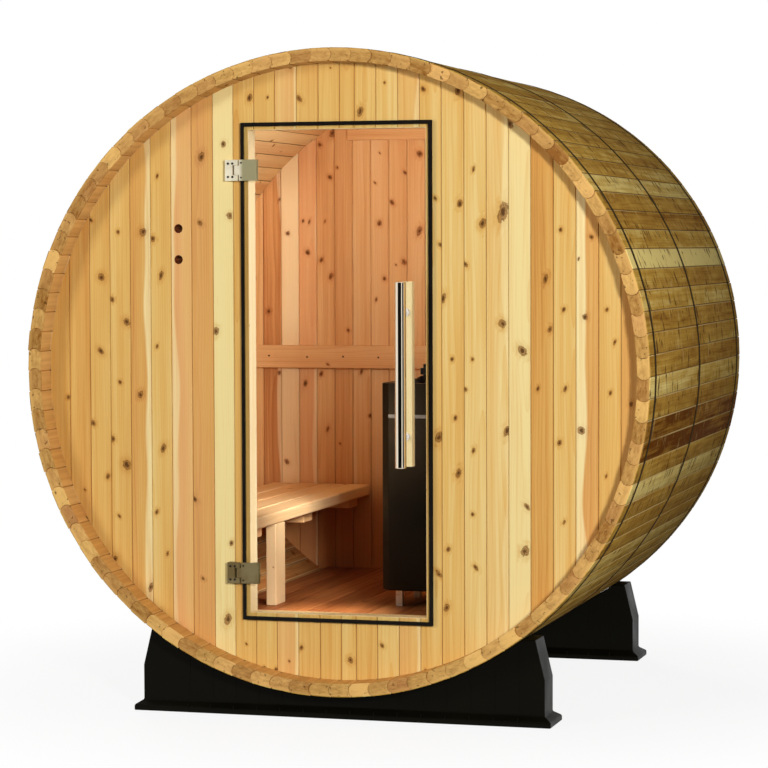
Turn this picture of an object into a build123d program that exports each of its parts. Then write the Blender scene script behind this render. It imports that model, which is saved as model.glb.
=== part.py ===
"""Barrel sauna: a stave barrel lying on two cradles, with a glass door in its front end wall.

Millimetres, +Z up. The barrel lies along Y and its door faces -Y. The origin is on the ground,
under the middle of the barrel. Heights called a drop or a rise are measured from the barrel's axis.
"""
import math
import os

from build123d import *

# Barrel shell
barrel_length = 1590.0
barrel_diameter = 1828.8
stave_thickness = 38.0
stave_joint_gap = 0.4
segment_count = 12
staves_per_segment = 8
ground_clearance = 73.6
seat_clearance = 0.3

# Steel bands
band_width = 20.0
band_thickness = 1.2
band_inset = 70.0

# End walls
wall_recess = 75.0
wall_thickness = 40.0

# Door opening and the lining behind it
opening_width = 525.0
opening_margin = 185.4
jamb_width = 38.0
jamb_depth = 25.0
jamb_joint_gap = 0.4

# Ports bored through one board of the front wall
port_diameter = 26.0
port_side_offset = 476.0
upper_port_rise = 411.0
lower_port_rise = 322.0
port_board_width = 64.0

# Door
door_overlap = 20.0
door_gap = 5.0
glass_thickness = 8.0
seal_width = 11.0

# Hinges
hinge_height = 60.0
hinge_inset = 135.0
pin_offset = 11.5
pin_diameter = 6.0
pin_clearance = 0.3
knuckle_diameter = 12.0
knuckle_gap = 0.5
middle_knuckle_height = 27.0
leaf_thickness = 8.0
leaf_edge_gap = 10.0
plate_reach = 32.0
clamp_reach = 62.0
back_pad_width = 20.0
back_pad_thickness = 6.0

# Handles
handle_side_offset = 203.0
handle_drop = 2.0
handle_length = 522.0
handle_diameter = 32.0
handle_standoff = 46.0
post_diameter = 16.0
post_spacing = 350.0
inner_handle_width = 32.0
inner_handle_depth = 26.0
inner_handle_edge = 3.0
inner_spacer_diameter = 20.0
inner_spacer_length = 14.0

# Door catch
catch_height = 40.0
catch_width = 12.0
catch_depth = 24.0
catch_gap = 8.0
catch_rise = 7.0
roller_diameter = 16.0
roller_height = 18.0

# Back wall battens
batten_thickness = 22.0
batten_height = 76.0
middle_batten_drop = 12.0
top_batten_gap = 88.4

# Floor
floor_rise = 154.4
floor_thickness = 22.0
floor_end_gap = 1.0

# Bench
seat_height = 282.0
bench_wall_gap = 102.0
slat_count = 4
slat_width = 83.0
slat_thickness = 36.0
slat_gap = 4.0
slat_end_gap = 5.0
cleat_count = 3
cleat_width = 90.0
cleat_thickness = 32.0
cleat_front_inset = 28.0
first_cleat_gap = 208.0
cleat_pitch = 502.0
leg_width = 32.0
leg_depth = 90.0
leg_gap = 346.0

# Heater
heater_width = 400.0
heater_depth = 300.0
heater_height = 621.0
heater_wall_gap = 163.0
heater_gap = 395.0
heater_corner = 26.0
heater_foot_height = 51.0
heater_foot_size = 21.0
heater_foot_inset = 37.0
trim_height = 11.0
trim_thickness = 1.5
trim_drop = 93.0

# Cradles
cradle_inset = 90.0
cradle_thickness = 108.0
cradle_base_width = 1196.0
cradle_top_width = 1142.0
cradle_side_height = 131.0
cradle_height = 244.0
flange_projection = 22.0
flange_height = 30.0
flange_edge_height = 16.0

# Places worked out from the sizes
barrel_radius = barrel_diameter / 2
inner_radius = barrel_radius - stave_thickness
stave_count = segment_count * staves_per_segment
stave_half_angle = math.pi / stave_count
axis_height = ground_clearance + barrel_radius
front_end = -barrel_length / 2
back_end = barrel_length / 2

wall_radius = inner_radius - seat_clearance
front_wall_face = front_end + wall_recess
front_wall_inside = front_wall_face + wall_thickness
jamb_inside = front_wall_inside + jamb_depth
back_wall_face = back_end - wall_recess
back_wall_inside = back_wall_face - wall_thickness

opening_side = opening_width / 2
opening_top = inner_radius - opening_margin
opening_height = 2 * opening_top
door_width = opening_width + 2 * door_overlap
door_height = opening_height + 2 * door_overlap
glass_width = door_width - 2 * seal_width
glass_height = door_height - 2 * seal_width
glass_back = front_wall_face - door_gap
glass_front = glass_back - glass_thickness

leaf_front = glass_front - leaf_thickness
pin_x = -door_width / 2 - pin_offset
pin_y = leaf_front + knuckle_diameter / 2
clamp_end = pin_x + clamp_reach
plate_end = pin_x - plate_reach

floor_drop = inner_radius - floor_rise
floor_top = axis_height - floor_drop
seat_top = floor_top + seat_height
seat_bottom = seat_top - slat_thickness
cleat_bottom = seat_bottom - cleat_thickness


def half_chord(radius, height):
    """Half the width of a circle about the barrel's axis, at a height above or below the axis."""
    return math.sqrt(radius**2 - height**2)


def upright(y):
    """Upright plane at depth y, looked at from the front, with its origin on the barrel's axis."""
    return Plane(origin=(0, y, axis_height), x_dir=(1, 0, 0), z_dir=(0, -1, 0))


def level(z):
    """Level plane at height z above the ground."""
    return Plane.XY.offset(z)


def save(part, node):
    """Label one finished piece and write it under its node's name."""
    part.label = node
    export_step(part, f"parts/{node}.step")


os.makedirs("parts", exist_ok=True)

# Barrel staves: flat boards with bevelled edges, in equal groups round the barrel
outer_half_width = barrel_radius * math.tan(stave_half_angle) - stave_joint_gap / 2
inner_half_width = inner_radius * math.tan(stave_half_angle) - stave_joint_gap / 2
stave_outline = [
    (inner_radius, -inner_half_width),
    (barrel_radius, -outer_half_width),
    (barrel_radius, outer_half_width),
    (inner_radius, inner_half_width),
]
segment_angle = 360 / segment_count
stave_angle = 360 / stave_count
for segment in range(segment_count):
    with BuildPart() as staves:
        with BuildSketch(upright(front_end)):
            start = segment * segment_angle + stave_angle / 2
            with PolarLocations(0, staves_per_segment, start, segment_angle):
                Polygon(*stave_outline)
        extrude(amount=-barrel_length)
    save(staves.part, f"staves_{segment + 1:02d}")

# Steel bands: flat straps drawn tight over the staves
band_places = {
    "band_front": front_end + band_inset,
    "band_middle": 0,
    "band_rear": back_end - band_inset,
}
for node, band_y in band_places.items():
    with BuildPart() as band:
        with BuildSketch(upright(band_y)):
            RegularPolygon(barrel_radius + band_thickness, stave_count, major_radius=False)
            RegularPolygon(barrel_radius, stave_count, major_radius=False, mode=Mode.SUBTRACT)
        extrude(amount=band_width / 2, both=True)
    save(band.part, node)


def wall_panel(x_range, z_range, wall_y):
    """Piece of a round end wall between two sides and two heights, wall_y at its front face."""
    width = x_range[1] - x_range[0]
    height = z_range[1] - z_range[0]
    middle = ((x_range[0] + x_range[1]) / 2, (z_range[0] + z_range[1]) / 2)
    with BuildPart() as panel:
        with BuildSketch(upright(wall_y)):
            Circle(wall_radius)
            with Locations(middle):
                Rectangle(width, height, mode=Mode.INTERSECT)
        extrude(amount=-wall_thickness)
    return panel.part


# Front wall, split beside, over and under the door opening
full = (-wall_radius, wall_radius)
port_board_left = -port_side_offset - port_board_width / 2
port_board_right = port_board_left + port_board_width
front_panels = {
    "front_wall_left_outer": ((-wall_radius, port_board_left), full),
    "front_wall_left_inner": ((port_board_right, -opening_side), full),
    "front_wall_right": ((opening_side, wall_radius), full),
    "front_wall_head": ((-opening_side, opening_side), (opening_top, wall_radius)),
    "front_wall_sill": ((-opening_side, opening_side), (-wall_radius, -opening_top)),
}
for node, (x_range, z_range) in front_panels.items():
    save(wall_panel(x_range, z_range, front_wall_face), node)

with BuildPart() as port_board:
    with BuildSketch(upright(front_wall_face)):
        Circle(wall_radius)
        with Locations((-port_side_offset, 0)):
            Rectangle(port_board_width, 2 * wall_radius, mode=Mode.INTERSECT)
        with Locations((-port_side_offset, upper_port_rise), (-port_side_offset, lower_port_rise)):
            Circle(port_diameter / 2, mode=Mode.SUBTRACT)
    extrude(amount=-wall_thickness)
save(port_board.part, "front_wall_port_board")

# Lining of the door opening, behind the front wall
post_x = opening_side + jamb_width / 2
with BuildPart() as jamb_posts:
    with BuildSketch(upright(front_wall_inside)):
        with Locations((-post_x, 0), (post_x, 0)):
            Rectangle(jamb_width, opening_height + 2 * jamb_width)
    extrude(amount=-jamb_depth)
save(jamb_posts.part, "jamb_posts")

rail_z = opening_top + jamb_width / 2
with BuildPart() as jamb_rails:
    with BuildSketch(upright(front_wall_inside)):
        with Locations((0, -rail_z), (0, rail_z)):
            Rectangle(opening_width - 2 * jamb_joint_gap, jamb_width)
    extrude(amount=-jamb_depth)
save(jamb_rails.part, "jamb_rails")

# Back wall, with the battens that tie its boards together
save(wall_panel(full, full, back_wall_inside), "back_wall")

batten_face = back_wall_inside - batten_thickness
top_batten_rise = inner_radius - top_batten_gap - batten_height / 2
batten_rises = {"back_batten_middle": -middle_batten_drop, "back_batten_top": top_batten_rise}
for node, rise in batten_rises.items():
    farthest = abs(rise) + batten_height / 2
    with BuildPart() as batten:
        with BuildSketch(upright(batten_face)):
            with Locations((0, rise)):
                Rectangle(2 * half_chord(wall_radius, farthest), batten_height)
        extrude(amount=-batten_thickness)
    save(batten.part, node)

# Floor deck, resting on the staves along its two lower edges
deck_half_width = half_chord(wall_radius, floor_drop + floor_thickness)
deck_front = jamb_inside + floor_end_gap
deck_back = back_wall_inside - floor_end_gap
with BuildPart() as floor_deck:
    with BuildSketch(Plane(origin=(0, (deck_front + deck_back) / 2, floor_top))):
        Rectangle(2 * deck_half_width, deck_back - deck_front)
    extrude(amount=-floor_thickness)
save(floor_deck.part, "floor_deck")

# Bench: lengthwise slats on cross cleats, with one leg under the front slat
slat_pitch = slat_width + slat_gap
bench_width = slat_count * slat_pitch - slat_gap
slat_length = back_wall_inside - front_wall_inside - 2 * slat_end_gap
slat_middle = (back_wall_inside + front_wall_inside) / 2
bench_back = -half_chord(inner_radius, axis_height - seat_top) + bench_wall_gap
bench_front = bench_back + bench_width
bench_middle = (bench_back + bench_front) / 2
with BuildPart() as bench_slats:
    with BuildSketch(Plane(origin=(bench_middle, slat_middle, seat_top))):
        with GridLocations(slat_pitch, 0, slat_count, 1):
            Rectangle(slat_width, slat_length)
    extrude(amount=-slat_thickness)
save(bench_slats.part, "bench_slats")

cleat_right = bench_front - cleat_front_inset
cleat_left = -half_chord(wall_radius, axis_height - cleat_bottom)
first_cleat = front_wall_inside + first_cleat_gap + cleat_width / 2
last_cleat = first_cleat + (cleat_count - 1) * cleat_pitch
cleat_centre = ((cleat_left + cleat_right) / 2, (first_cleat + last_cleat) / 2, seat_bottom)
with BuildPart() as bench_cleats:
    with BuildSketch(Plane(origin=cleat_centre)):
        with GridLocations(0, cleat_pitch, 1, cleat_count):
            Rectangle(cleat_right - cleat_left, cleat_width)
    extrude(amount=-cleat_thickness)
save(bench_cleats.part, "bench_cleats")

leg_x = bench_front - leg_width / 2
leg_y = front_wall_inside + leg_gap + leg_depth / 2
with BuildPart() as bench_leg:
    with BuildSketch(Plane(origin=(leg_x, leg_y, floor_top))):
        Rectangle(leg_width, leg_depth)
    extrude(amount=seat_bottom - floor_top)
save(bench_leg.part, "bench_leg")

# Heater: a tall box on four feet, with a trim strip across its front
heater_bottom = floor_top + heater_foot_height
heater_right = half_chord(inner_radius, axis_height - heater_bottom) - heater_wall_gap
heater_x = heater_right - heater_width / 2
heater_front = front_wall_inside + heater_gap
heater_y = heater_front + heater_depth / 2
heater_top = heater_bottom + heater_height
with BuildPart() as heater_body:
    with BuildSketch(Plane(origin=(heater_x, heater_y, heater_bottom))):
        Rectangle(heater_width, heater_depth)
    extrude(amount=heater_height)
    front_corners = heater_body.edges().filter_by(Axis.Z).group_by(Axis.Y)[0]
    chamfer(front_corners, length=heater_corner)
save(heater_body.part, "heater_body")

foot_span = heater_width - 2 * heater_foot_inset - heater_foot_size
foot_reach = heater_depth - 2 * heater_foot_inset - heater_foot_size
with BuildPart() as heater_feet:
    with BuildSketch(Plane(origin=(heater_x, heater_y, floor_top))):
        with GridLocations(foot_span, foot_reach, 2, 2):
            Rectangle(heater_foot_size, heater_foot_size)
    extrude(amount=heater_foot_height)
save(heater_feet.part, "heater_feet")

trim_z = heater_top - trim_drop - trim_height / 2 - axis_height
with BuildPart() as heater_trim:
    with BuildSketch(upright(heater_front)):
        with Locations((heater_x, trim_z)):
            Rectangle(heater_width - 2 * heater_corner, trim_height)
    extrude(amount=trim_thickness)
save(heater_trim.part, "heater_trim")

# Door: one sheet of glass with a soft black strip round its edge
with BuildPart() as door_glass:
    with BuildSketch(upright(glass_front)):
        Rectangle(glass_width, glass_height)
    extrude(amount=-glass_thickness)
save(door_glass.part, "door_glass")

with BuildPart() as door_seal:
    with BuildSketch(upright(glass_front)):
        Rectangle(door_width, door_height)
        Rectangle(glass_width, glass_height, mode=Mode.SUBTRACT)
    extrude(amount=-glass_thickness)
save(door_seal.part, "door_seal")

# Hinges: a plate on the wall with two knuckles and the pin, and a clamp on the glass between them
half_hinge = hinge_height / 2
half_knuckle = middle_knuckle_height / 2
plate_setback = pin_x - leaf_edge_gap
clamp_setback = pin_x + leaf_edge_gap
hinge_rise = door_height / 2 - hinge_inset
for node_prefix, rise in (("upper", hinge_rise), ("lower", -hinge_rise)):
    hinge_z = axis_height + rise
    with BuildPart() as hinge_plate:
        with BuildSketch(level(hinge_z)):
            with Locations((plate_end, leaf_front)):
                Rectangle(plate_reach, leaf_thickness, align=(Align.MIN, Align.MIN))
            with Locations((pin_x, pin_y)):
                Circle(knuckle_diameter / 2)
        extrude(amount=half_hinge, both=True)
        with BuildSketch(level(hinge_z)):
            with Locations((plate_setback, leaf_front)):
                Rectangle(2 * leaf_edge_gap, knuckle_diameter, align=(Align.MIN, Align.MIN))
        extrude(amount=half_knuckle + knuckle_gap, both=True, mode=Mode.SUBTRACT)
        with BuildSketch(level(hinge_z)):
            with Locations((plate_end, leaf_front + leaf_thickness)):
                Rectangle(
                    plate_reach - leaf_edge_gap,
                    front_wall_face - leaf_front - leaf_thickness,
                    align=(Align.MIN, Align.MIN),
                )
        extrude(amount=half_hinge, both=True)
        with BuildSketch(level(hinge_z)):
            with Locations((pin_x, pin_y)):
                Circle(pin_diameter / 2)
        extrude(amount=half_hinge, both=True)
    save(hinge_plate.part, f"{node_prefix}_hinge_plate")

    with BuildPart() as hinge_clamp:
        with BuildSketch(level(hinge_z)):
            with Locations((pin_x, leaf_front)):
                Rectangle(leaf_edge_gap, leaf_thickness, align=(Align.MIN, Align.MIN))
            with Locations((pin_x, pin_y)):
                Circle(knuckle_diameter / 2)
        extrude(amount=half_knuckle, both=True)
        with BuildSketch(level(hinge_z)):
            with Locations((clamp_setback, leaf_front)):
                Rectangle(clamp_reach - leaf_edge_gap, leaf_thickness, align=(Align.MIN, Align.MIN))
        extrude(amount=half_hinge, both=True)
        with BuildSketch(level(hinge_z)):
            with Locations((pin_x, pin_y)):
                Circle(pin_diameter / 2 + pin_clearance)
        extrude(amount=half_hinge, both=True, mode=Mode.SUBTRACT)
        with BuildSketch(level(hinge_z)):
            with Locations((clamp_end, glass_back)):
                Rectangle(back_pad_width, back_pad_thickness, align=(Align.MAX, Align.MIN))
        extrude(amount=half_hinge, both=True)
    save(hinge_clamp.part, f"{node_prefix}_hinge_clamp")

# Outer handle: a round bar on two posts, bolted through the glass to the wooden bar inside
bar_y = glass_front - handle_standoff
bar_bottom = axis_height - handle_drop - handle_length / 2
post_places = [(handle_side_offset, -handle_drop - post_spacing / 2)]
post_places.append((handle_side_offset, -handle_drop + post_spacing / 2))
with BuildPart() as outer_handle:
    with BuildSketch(Plane(origin=(handle_side_offset, bar_y, bar_bottom))):
        Circle(handle_diameter / 2)
    extrude(amount=handle_length)
    with BuildSketch(upright(glass_front)):
        with Locations(*post_places):
            Circle(post_diameter / 2)
    extrude(amount=handle_standoff)
save(outer_handle.part, "outer_handle")

with BuildPart() as inner_spacers:
    with BuildSketch(upright(glass_back)):
        with Locations(*post_places):
            Circle(inner_spacer_diameter / 2)
    extrude(amount=-inner_spacer_length)
save(inner_spacers.part, "inner_handle_spacers")

with BuildPart() as inner_handle:
    with BuildSketch(upright(glass_back + inner_spacer_length)):
        with Locations((handle_side_offset, -handle_drop)):
            Rectangle(inner_handle_width, handle_length)
    extrude(amount=-inner_handle_depth)
    fillet(inner_handle.edges().filter_by(Axis.Z), radius=inner_handle_edge)
save(inner_handle.part, "inner_handle")

# Door catch: a roller in a small block on the right side of the opening
catch_z = axis_height + catch_rise
catch_front = glass_back + catch_gap
with BuildPart() as door_catch:
    with BuildSketch(level(catch_z)):
        with Locations((opening_side, catch_front + roller_diameter / 2)):
            Rectangle(catch_width, catch_depth, align=(Align.MAX, Align.MIN))
    extrude(amount=catch_height / 2, both=True)
    with BuildSketch(level(catch_z)):
        with Locations((opening_side - catch_width, catch_front + roller_diameter / 2)):
            Circle(roller_diameter / 2)
    extrude(amount=roller_height / 2, both=True)
save(door_catch.part, "door_catch")


def cradle(outer_y, thickness):
    """Moulded cradle whose outer face is at outer_y, with a flange round its foot."""
    ground = -axis_height
    base = cradle_base_width / 2
    top = cradle_top_width / 2
    seat_radius = barrel_radius / math.cos(stave_half_angle) + seat_clearance
    with BuildPart() as saddle:
        with BuildSketch(upright(outer_y)):
            Polygon(
                (-base, ground),
                (base, ground),
                (base, ground + cradle_side_height),
                (top, ground + cradle_height),
                (-top, ground + cradle_height),
                (-base, ground + cradle_side_height),
            )
            Circle(seat_radius, mode=Mode.SUBTRACT)
        extrude(amount=-thickness)
        middle_y = outer_y + thickness / 2
        flange_length = cradle_base_width + 2 * flange_projection
        flange_width = cradle_thickness + 2 * flange_projection
        with BuildSketch(Plane(origin=(0, middle_y, 0))):
            Rectangle(flange_length, flange_width)
        extrude(amount=flange_edge_height)
        with BuildSketch(Plane(origin=(0, middle_y, flange_edge_height))):
            Rectangle(flange_length, flange_width)
        with BuildSketch(Plane(origin=(0, middle_y, flange_height))):
            Rectangle(cradle_base_width, cradle_thickness)
        loft()
    return saddle.part


save(cradle(front_end + cradle_inset, cradle_thickness), "front_cradle")
save(cradle(back_end - cradle_inset, -cradle_thickness), "rear_cradle")
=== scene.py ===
import math
import random

import bpy
from mathutils import Matrix, Vector


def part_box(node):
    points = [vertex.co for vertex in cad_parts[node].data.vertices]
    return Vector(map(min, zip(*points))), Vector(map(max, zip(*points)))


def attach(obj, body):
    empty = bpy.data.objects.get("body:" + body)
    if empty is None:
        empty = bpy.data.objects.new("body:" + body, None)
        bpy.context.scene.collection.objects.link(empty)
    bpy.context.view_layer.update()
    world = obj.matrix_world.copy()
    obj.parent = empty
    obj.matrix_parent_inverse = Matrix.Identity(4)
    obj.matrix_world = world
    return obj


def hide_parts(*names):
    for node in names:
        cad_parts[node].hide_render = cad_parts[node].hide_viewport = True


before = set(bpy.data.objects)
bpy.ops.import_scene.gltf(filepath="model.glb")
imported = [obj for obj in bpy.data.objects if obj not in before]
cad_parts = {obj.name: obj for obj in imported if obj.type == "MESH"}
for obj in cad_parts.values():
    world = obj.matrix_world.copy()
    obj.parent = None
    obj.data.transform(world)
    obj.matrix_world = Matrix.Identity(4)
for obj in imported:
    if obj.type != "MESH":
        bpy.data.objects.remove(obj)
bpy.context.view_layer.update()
chance = random.Random(96)

# Main sizes of the barrel, in metres.
MM = 0.001
AXIS_Z = 0.988
OUTER = 0.9144
INNER = 0.8764
STAVES = 96
STAVE_ANGLE = math.radians(360 / STAVES)
HALF_ANGLE = STAVE_ANGLE / 2
FRONT_END = -0.795
BACK_END = 0.795
LENGTH = BACK_END - FRONT_END
TOUCH = 1e-5
X, Y, Z = (1, 0, 0), (0, 1, 0), (0, 0, 1)
FORWARD = (0, -1, 0)


# Hand tools


def let_go():
    """Leave edit mode with nothing selected."""
    if bpy.context.object and bpy.context.object.mode != "OBJECT":
        bpy.ops.object.mode_set(mode="OBJECT")
    bpy.ops.object.select_all(action="DESELECT")


def take(*pieces):
    """Select only these pieces, the first one active."""
    let_go()
    for piece in pieces:
        piece.select_set(True)
    bpy.context.view_layer.objects.active = pieces[0]


def block(name, low, high):
    """Add a cube at its size and place."""
    let_go()
    size = [h - l for l, h in zip(low, high)]
    middle = [(h + l) / 2 for l, h in zip(low, high)]
    bpy.ops.mesh.primitive_cube_add(size=1, location=middle, scale=size)
    bpy.ops.object.transform_apply(location=True, rotation=True, scale=True)
    bpy.context.object.name = name
    return bpy.context.object


def rod(name, start, end, radius, sides=32):
    """Add a cylinder from one point to another."""
    let_go()
    start, end = Vector(start), Vector(end)
    run = end - start
    turn = run.to_track_quat("Z", "Y").to_euler()
    bpy.ops.mesh.primitive_cylinder_add(
        vertices=sides, radius=radius, depth=run.length, location=(start + end) / 2, rotation=turn
    )
    bpy.ops.object.transform_apply(location=True, rotation=True, scale=True)
    bpy.context.object.name = name
    return bpy.context.object


def choose(piece, kind, test):
    """Open a piece for editing with the points, edges or faces that pass a test selected."""
    take(piece)
    mesh = piece.data
    for part in (mesh.vertices, mesh.edges, mesh.polygons):
        part.foreach_set("select", [False] * len(part))
    if kind == "VERT":
        for point in mesh.vertices:
            point.select = test(point.co)
    elif kind == "EDGE":
        places = [point.co for point in mesh.vertices]
        for edge in mesh.edges:
            edge.select = test(places[edge.vertices[0]], places[edge.vertices[1]])
    else:
        for face in mesh.polygons:
            face.select = test(face.center, face.normal)
    bpy.context.tool_settings.mesh_select_mode = (kind == "VERT", kind == "EDGE", kind == "FACE")
    bpy.ops.object.mode_set(mode="EDIT")


def done():
    """Close the piece that is open for editing."""
    bpy.ops.object.mode_set(mode="OBJECT")


def open_whole(piece):
    """Open a piece for editing with all of it selected."""
    take(piece)
    bpy.ops.object.mode_set(mode="EDIT")
    bpy.ops.mesh.select_all(action="SELECT")


def bevel_edges(piece, test, width, segments=2):
    """Bevel the edges that pass a test."""
    choose(piece, "EDGE", test)
    bpy.ops.mesh.bevel(offset=width, segments=segments, affect="EDGES")
    done()


def push_faces(piece, test, move):
    """Extrude the faces that pass a test."""
    choose(piece, "FACE", test)
    bpy.ops.mesh.extrude_region_move(TRANSFORM_OT_translate={"value": move})
    done()


def saw(piece, place, normal, drop=None):
    """Cut along a plane, and drop one side of the cut with its end closed."""
    open_whole(piece)
    bpy.ops.mesh.bisect(
        plane_co=place,
        plane_no=normal,
        use_fill=drop is not None,
        clear_inner=drop == "inner",
        clear_outer=drop == "outer",
    )
    done()


def ease(piece, width, segments=2, angle=30):
    """Round the sharp edges with a Bevel modifier, applied."""
    take(piece)
    round_over = piece.modifiers.new("eased edges", "BEVEL")
    round_over.width = width
    round_over.segments = segments
    round_over.limit_method = "ANGLE"
    round_over.angle_limit = math.radians(angle)
    round_over.use_clamp_overlap = True
    round_over.harden_normals = False
    bpy.ops.object.modifier_apply(modifier=round_over.name)


def set_outward(piece):
    """Merge doubles and turn all faces outwards."""
    open_whole(piece)
    bpy.ops.mesh.remove_doubles(threshold=1e-6)
    bpy.ops.mesh.normals_make_consistent(inside=False)
    done()


def copied(piece, name):
    """A copy with its own mesh."""
    twin = piece.copy()
    twin.data = piece.data.copy()
    twin.name = name
    bpy.context.scene.collection.objects.link(twin)
    return twin


def joined(pieces, name):
    """Join pieces into one, placed at the origin."""
    take(*pieces)
    if len(pieces) > 1:
        bpy.ops.object.join()
    bpy.ops.object.transform_apply(location=True, rotation=True, scale=True)
    bpy.context.object.name = name
    bpy.context.object.data.name = name
    return bpy.context.object


def drawn_from(node, name):
    """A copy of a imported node, its triangles merged back into flat faces."""
    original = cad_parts[node]
    piece = bpy.data.objects.new(name, original.data.copy())
    piece.data.materials.clear()
    bpy.context.scene.collection.objects.link(piece)
    open_whole(piece)
    bpy.ops.mesh.remove_doubles(threshold=2e-6)
    bpy.ops.mesh.dissolve_limited(angle_limit=math.radians(0.3))
    done()
    return piece


def parts_of(node, name):
    """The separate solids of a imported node, each as a piece."""
    piece = drawn_from(node, name)
    open_whole(piece)
    bpy.ops.mesh.separate(type="LOOSE")
    done()
    pieces = list(bpy.context.selected_objects)
    pieces.sort(key=lambda part: tuple(round(sum(c[i] for c in part.bound_box), 4) for i in range(3)))
    return pieces


def smooth(piece, angle=35):
    """Smooth shading that keeps the sharp edges."""
    take(piece)
    bpy.ops.object.shade_smooth_by_angle(angle=math.radians(angle))


def settle(piece, angle=50):
    """Smooth shading in which rounded edges leave the broad faces flat."""
    smooth(piece, angle)
    level = piece.modifiers.new("flat faces", "WEIGHTED_NORMAL")
    level.mode = "FACE_AREA"
    level.weight = 100
    level.keep_sharp = True
    bpy.ops.object.modifier_apply(modifier=level.name)


def fit(piece, finish, body, slot, *nodes):
    """Give a piece its finish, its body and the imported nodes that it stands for."""
    piece.data.materials.clear()
    piece.data.materials.append(finish)
    let_go()
    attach(piece, body)
    if nodes:
        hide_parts(*nodes)


# Grain of a board


KNOTS = 8

# Fills the places for knots that a board doesn't use: too far off to show.
NO_KNOT = (9.0, 9.0, 0.001)


def write_points(piece, name, values):
    """Keep a vector for every point of a mesh."""
    layer = piece.data.attributes.get(name)
    if layer is None:
        layer = piece.data.attributes.new(name, "FLOAT_VECTOR", "POINT")
    layer.data.foreach_set("vector", values)


def lay_grain(piece, along, across, depth, middle):
    """Keep where each point lies in its board: along the grain, across it and down from its face."""
    ways = Vector(along), Vector(across), Vector(depth)
    values = []
    for point in piece.data.vertices:
        out = point.co - Vector(middle)
        values += [out.dot(way) for way in ways]
    write_points(piece, "grain", values)


def grade(piece, tone, rose=0.0, sap=(0.0, 1.0, 0.0), knots=None, seed=None):
    """Keep what a board's own wood is like: tone, redness, sapwood edge and knots."""
    count = len(piece.data.vertices)
    if seed is None:
        seed = chance.random()
    write_points(piece, "kind", [seed, tone, rose] * count)
    write_points(piece, "sap", list(sap) * count)
    knots = list(knots or [])
    knots += [NO_KNOT] * (KNOTS - len(knots))
    for number, knot in enumerate(knots[:KNOTS]):
        write_points(piece, f"knot_{number + 1}", list(knot) * count)


def some_knots(length, width, spacing, smallest=0.003, largest=0.009):
    """Knots scattered along one board."""
    knots = []
    place = chance.uniform(0.1, 1.2) * spacing
    while place < length and len(knots) < KNOTS:
        size = smallest + (largest - smallest) * chance.random() ** 2
        knots.append((place, chance.uniform(-0.42, 0.42) * width, size))
        place += chance.uniform(0.45, 1.6) * spacing
    return knots


# Finishes


def paint(red, green, blue):
    """A colour as it shows on a screen, made linear."""
    parts = []
    for value in (red, green, blue):
        share = value / 255
        parts.append(share / 12.92 if share <= 0.04045 else ((share + 0.055) / 1.055) ** 2.4)
    return (*parts, 1.0)


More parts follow.
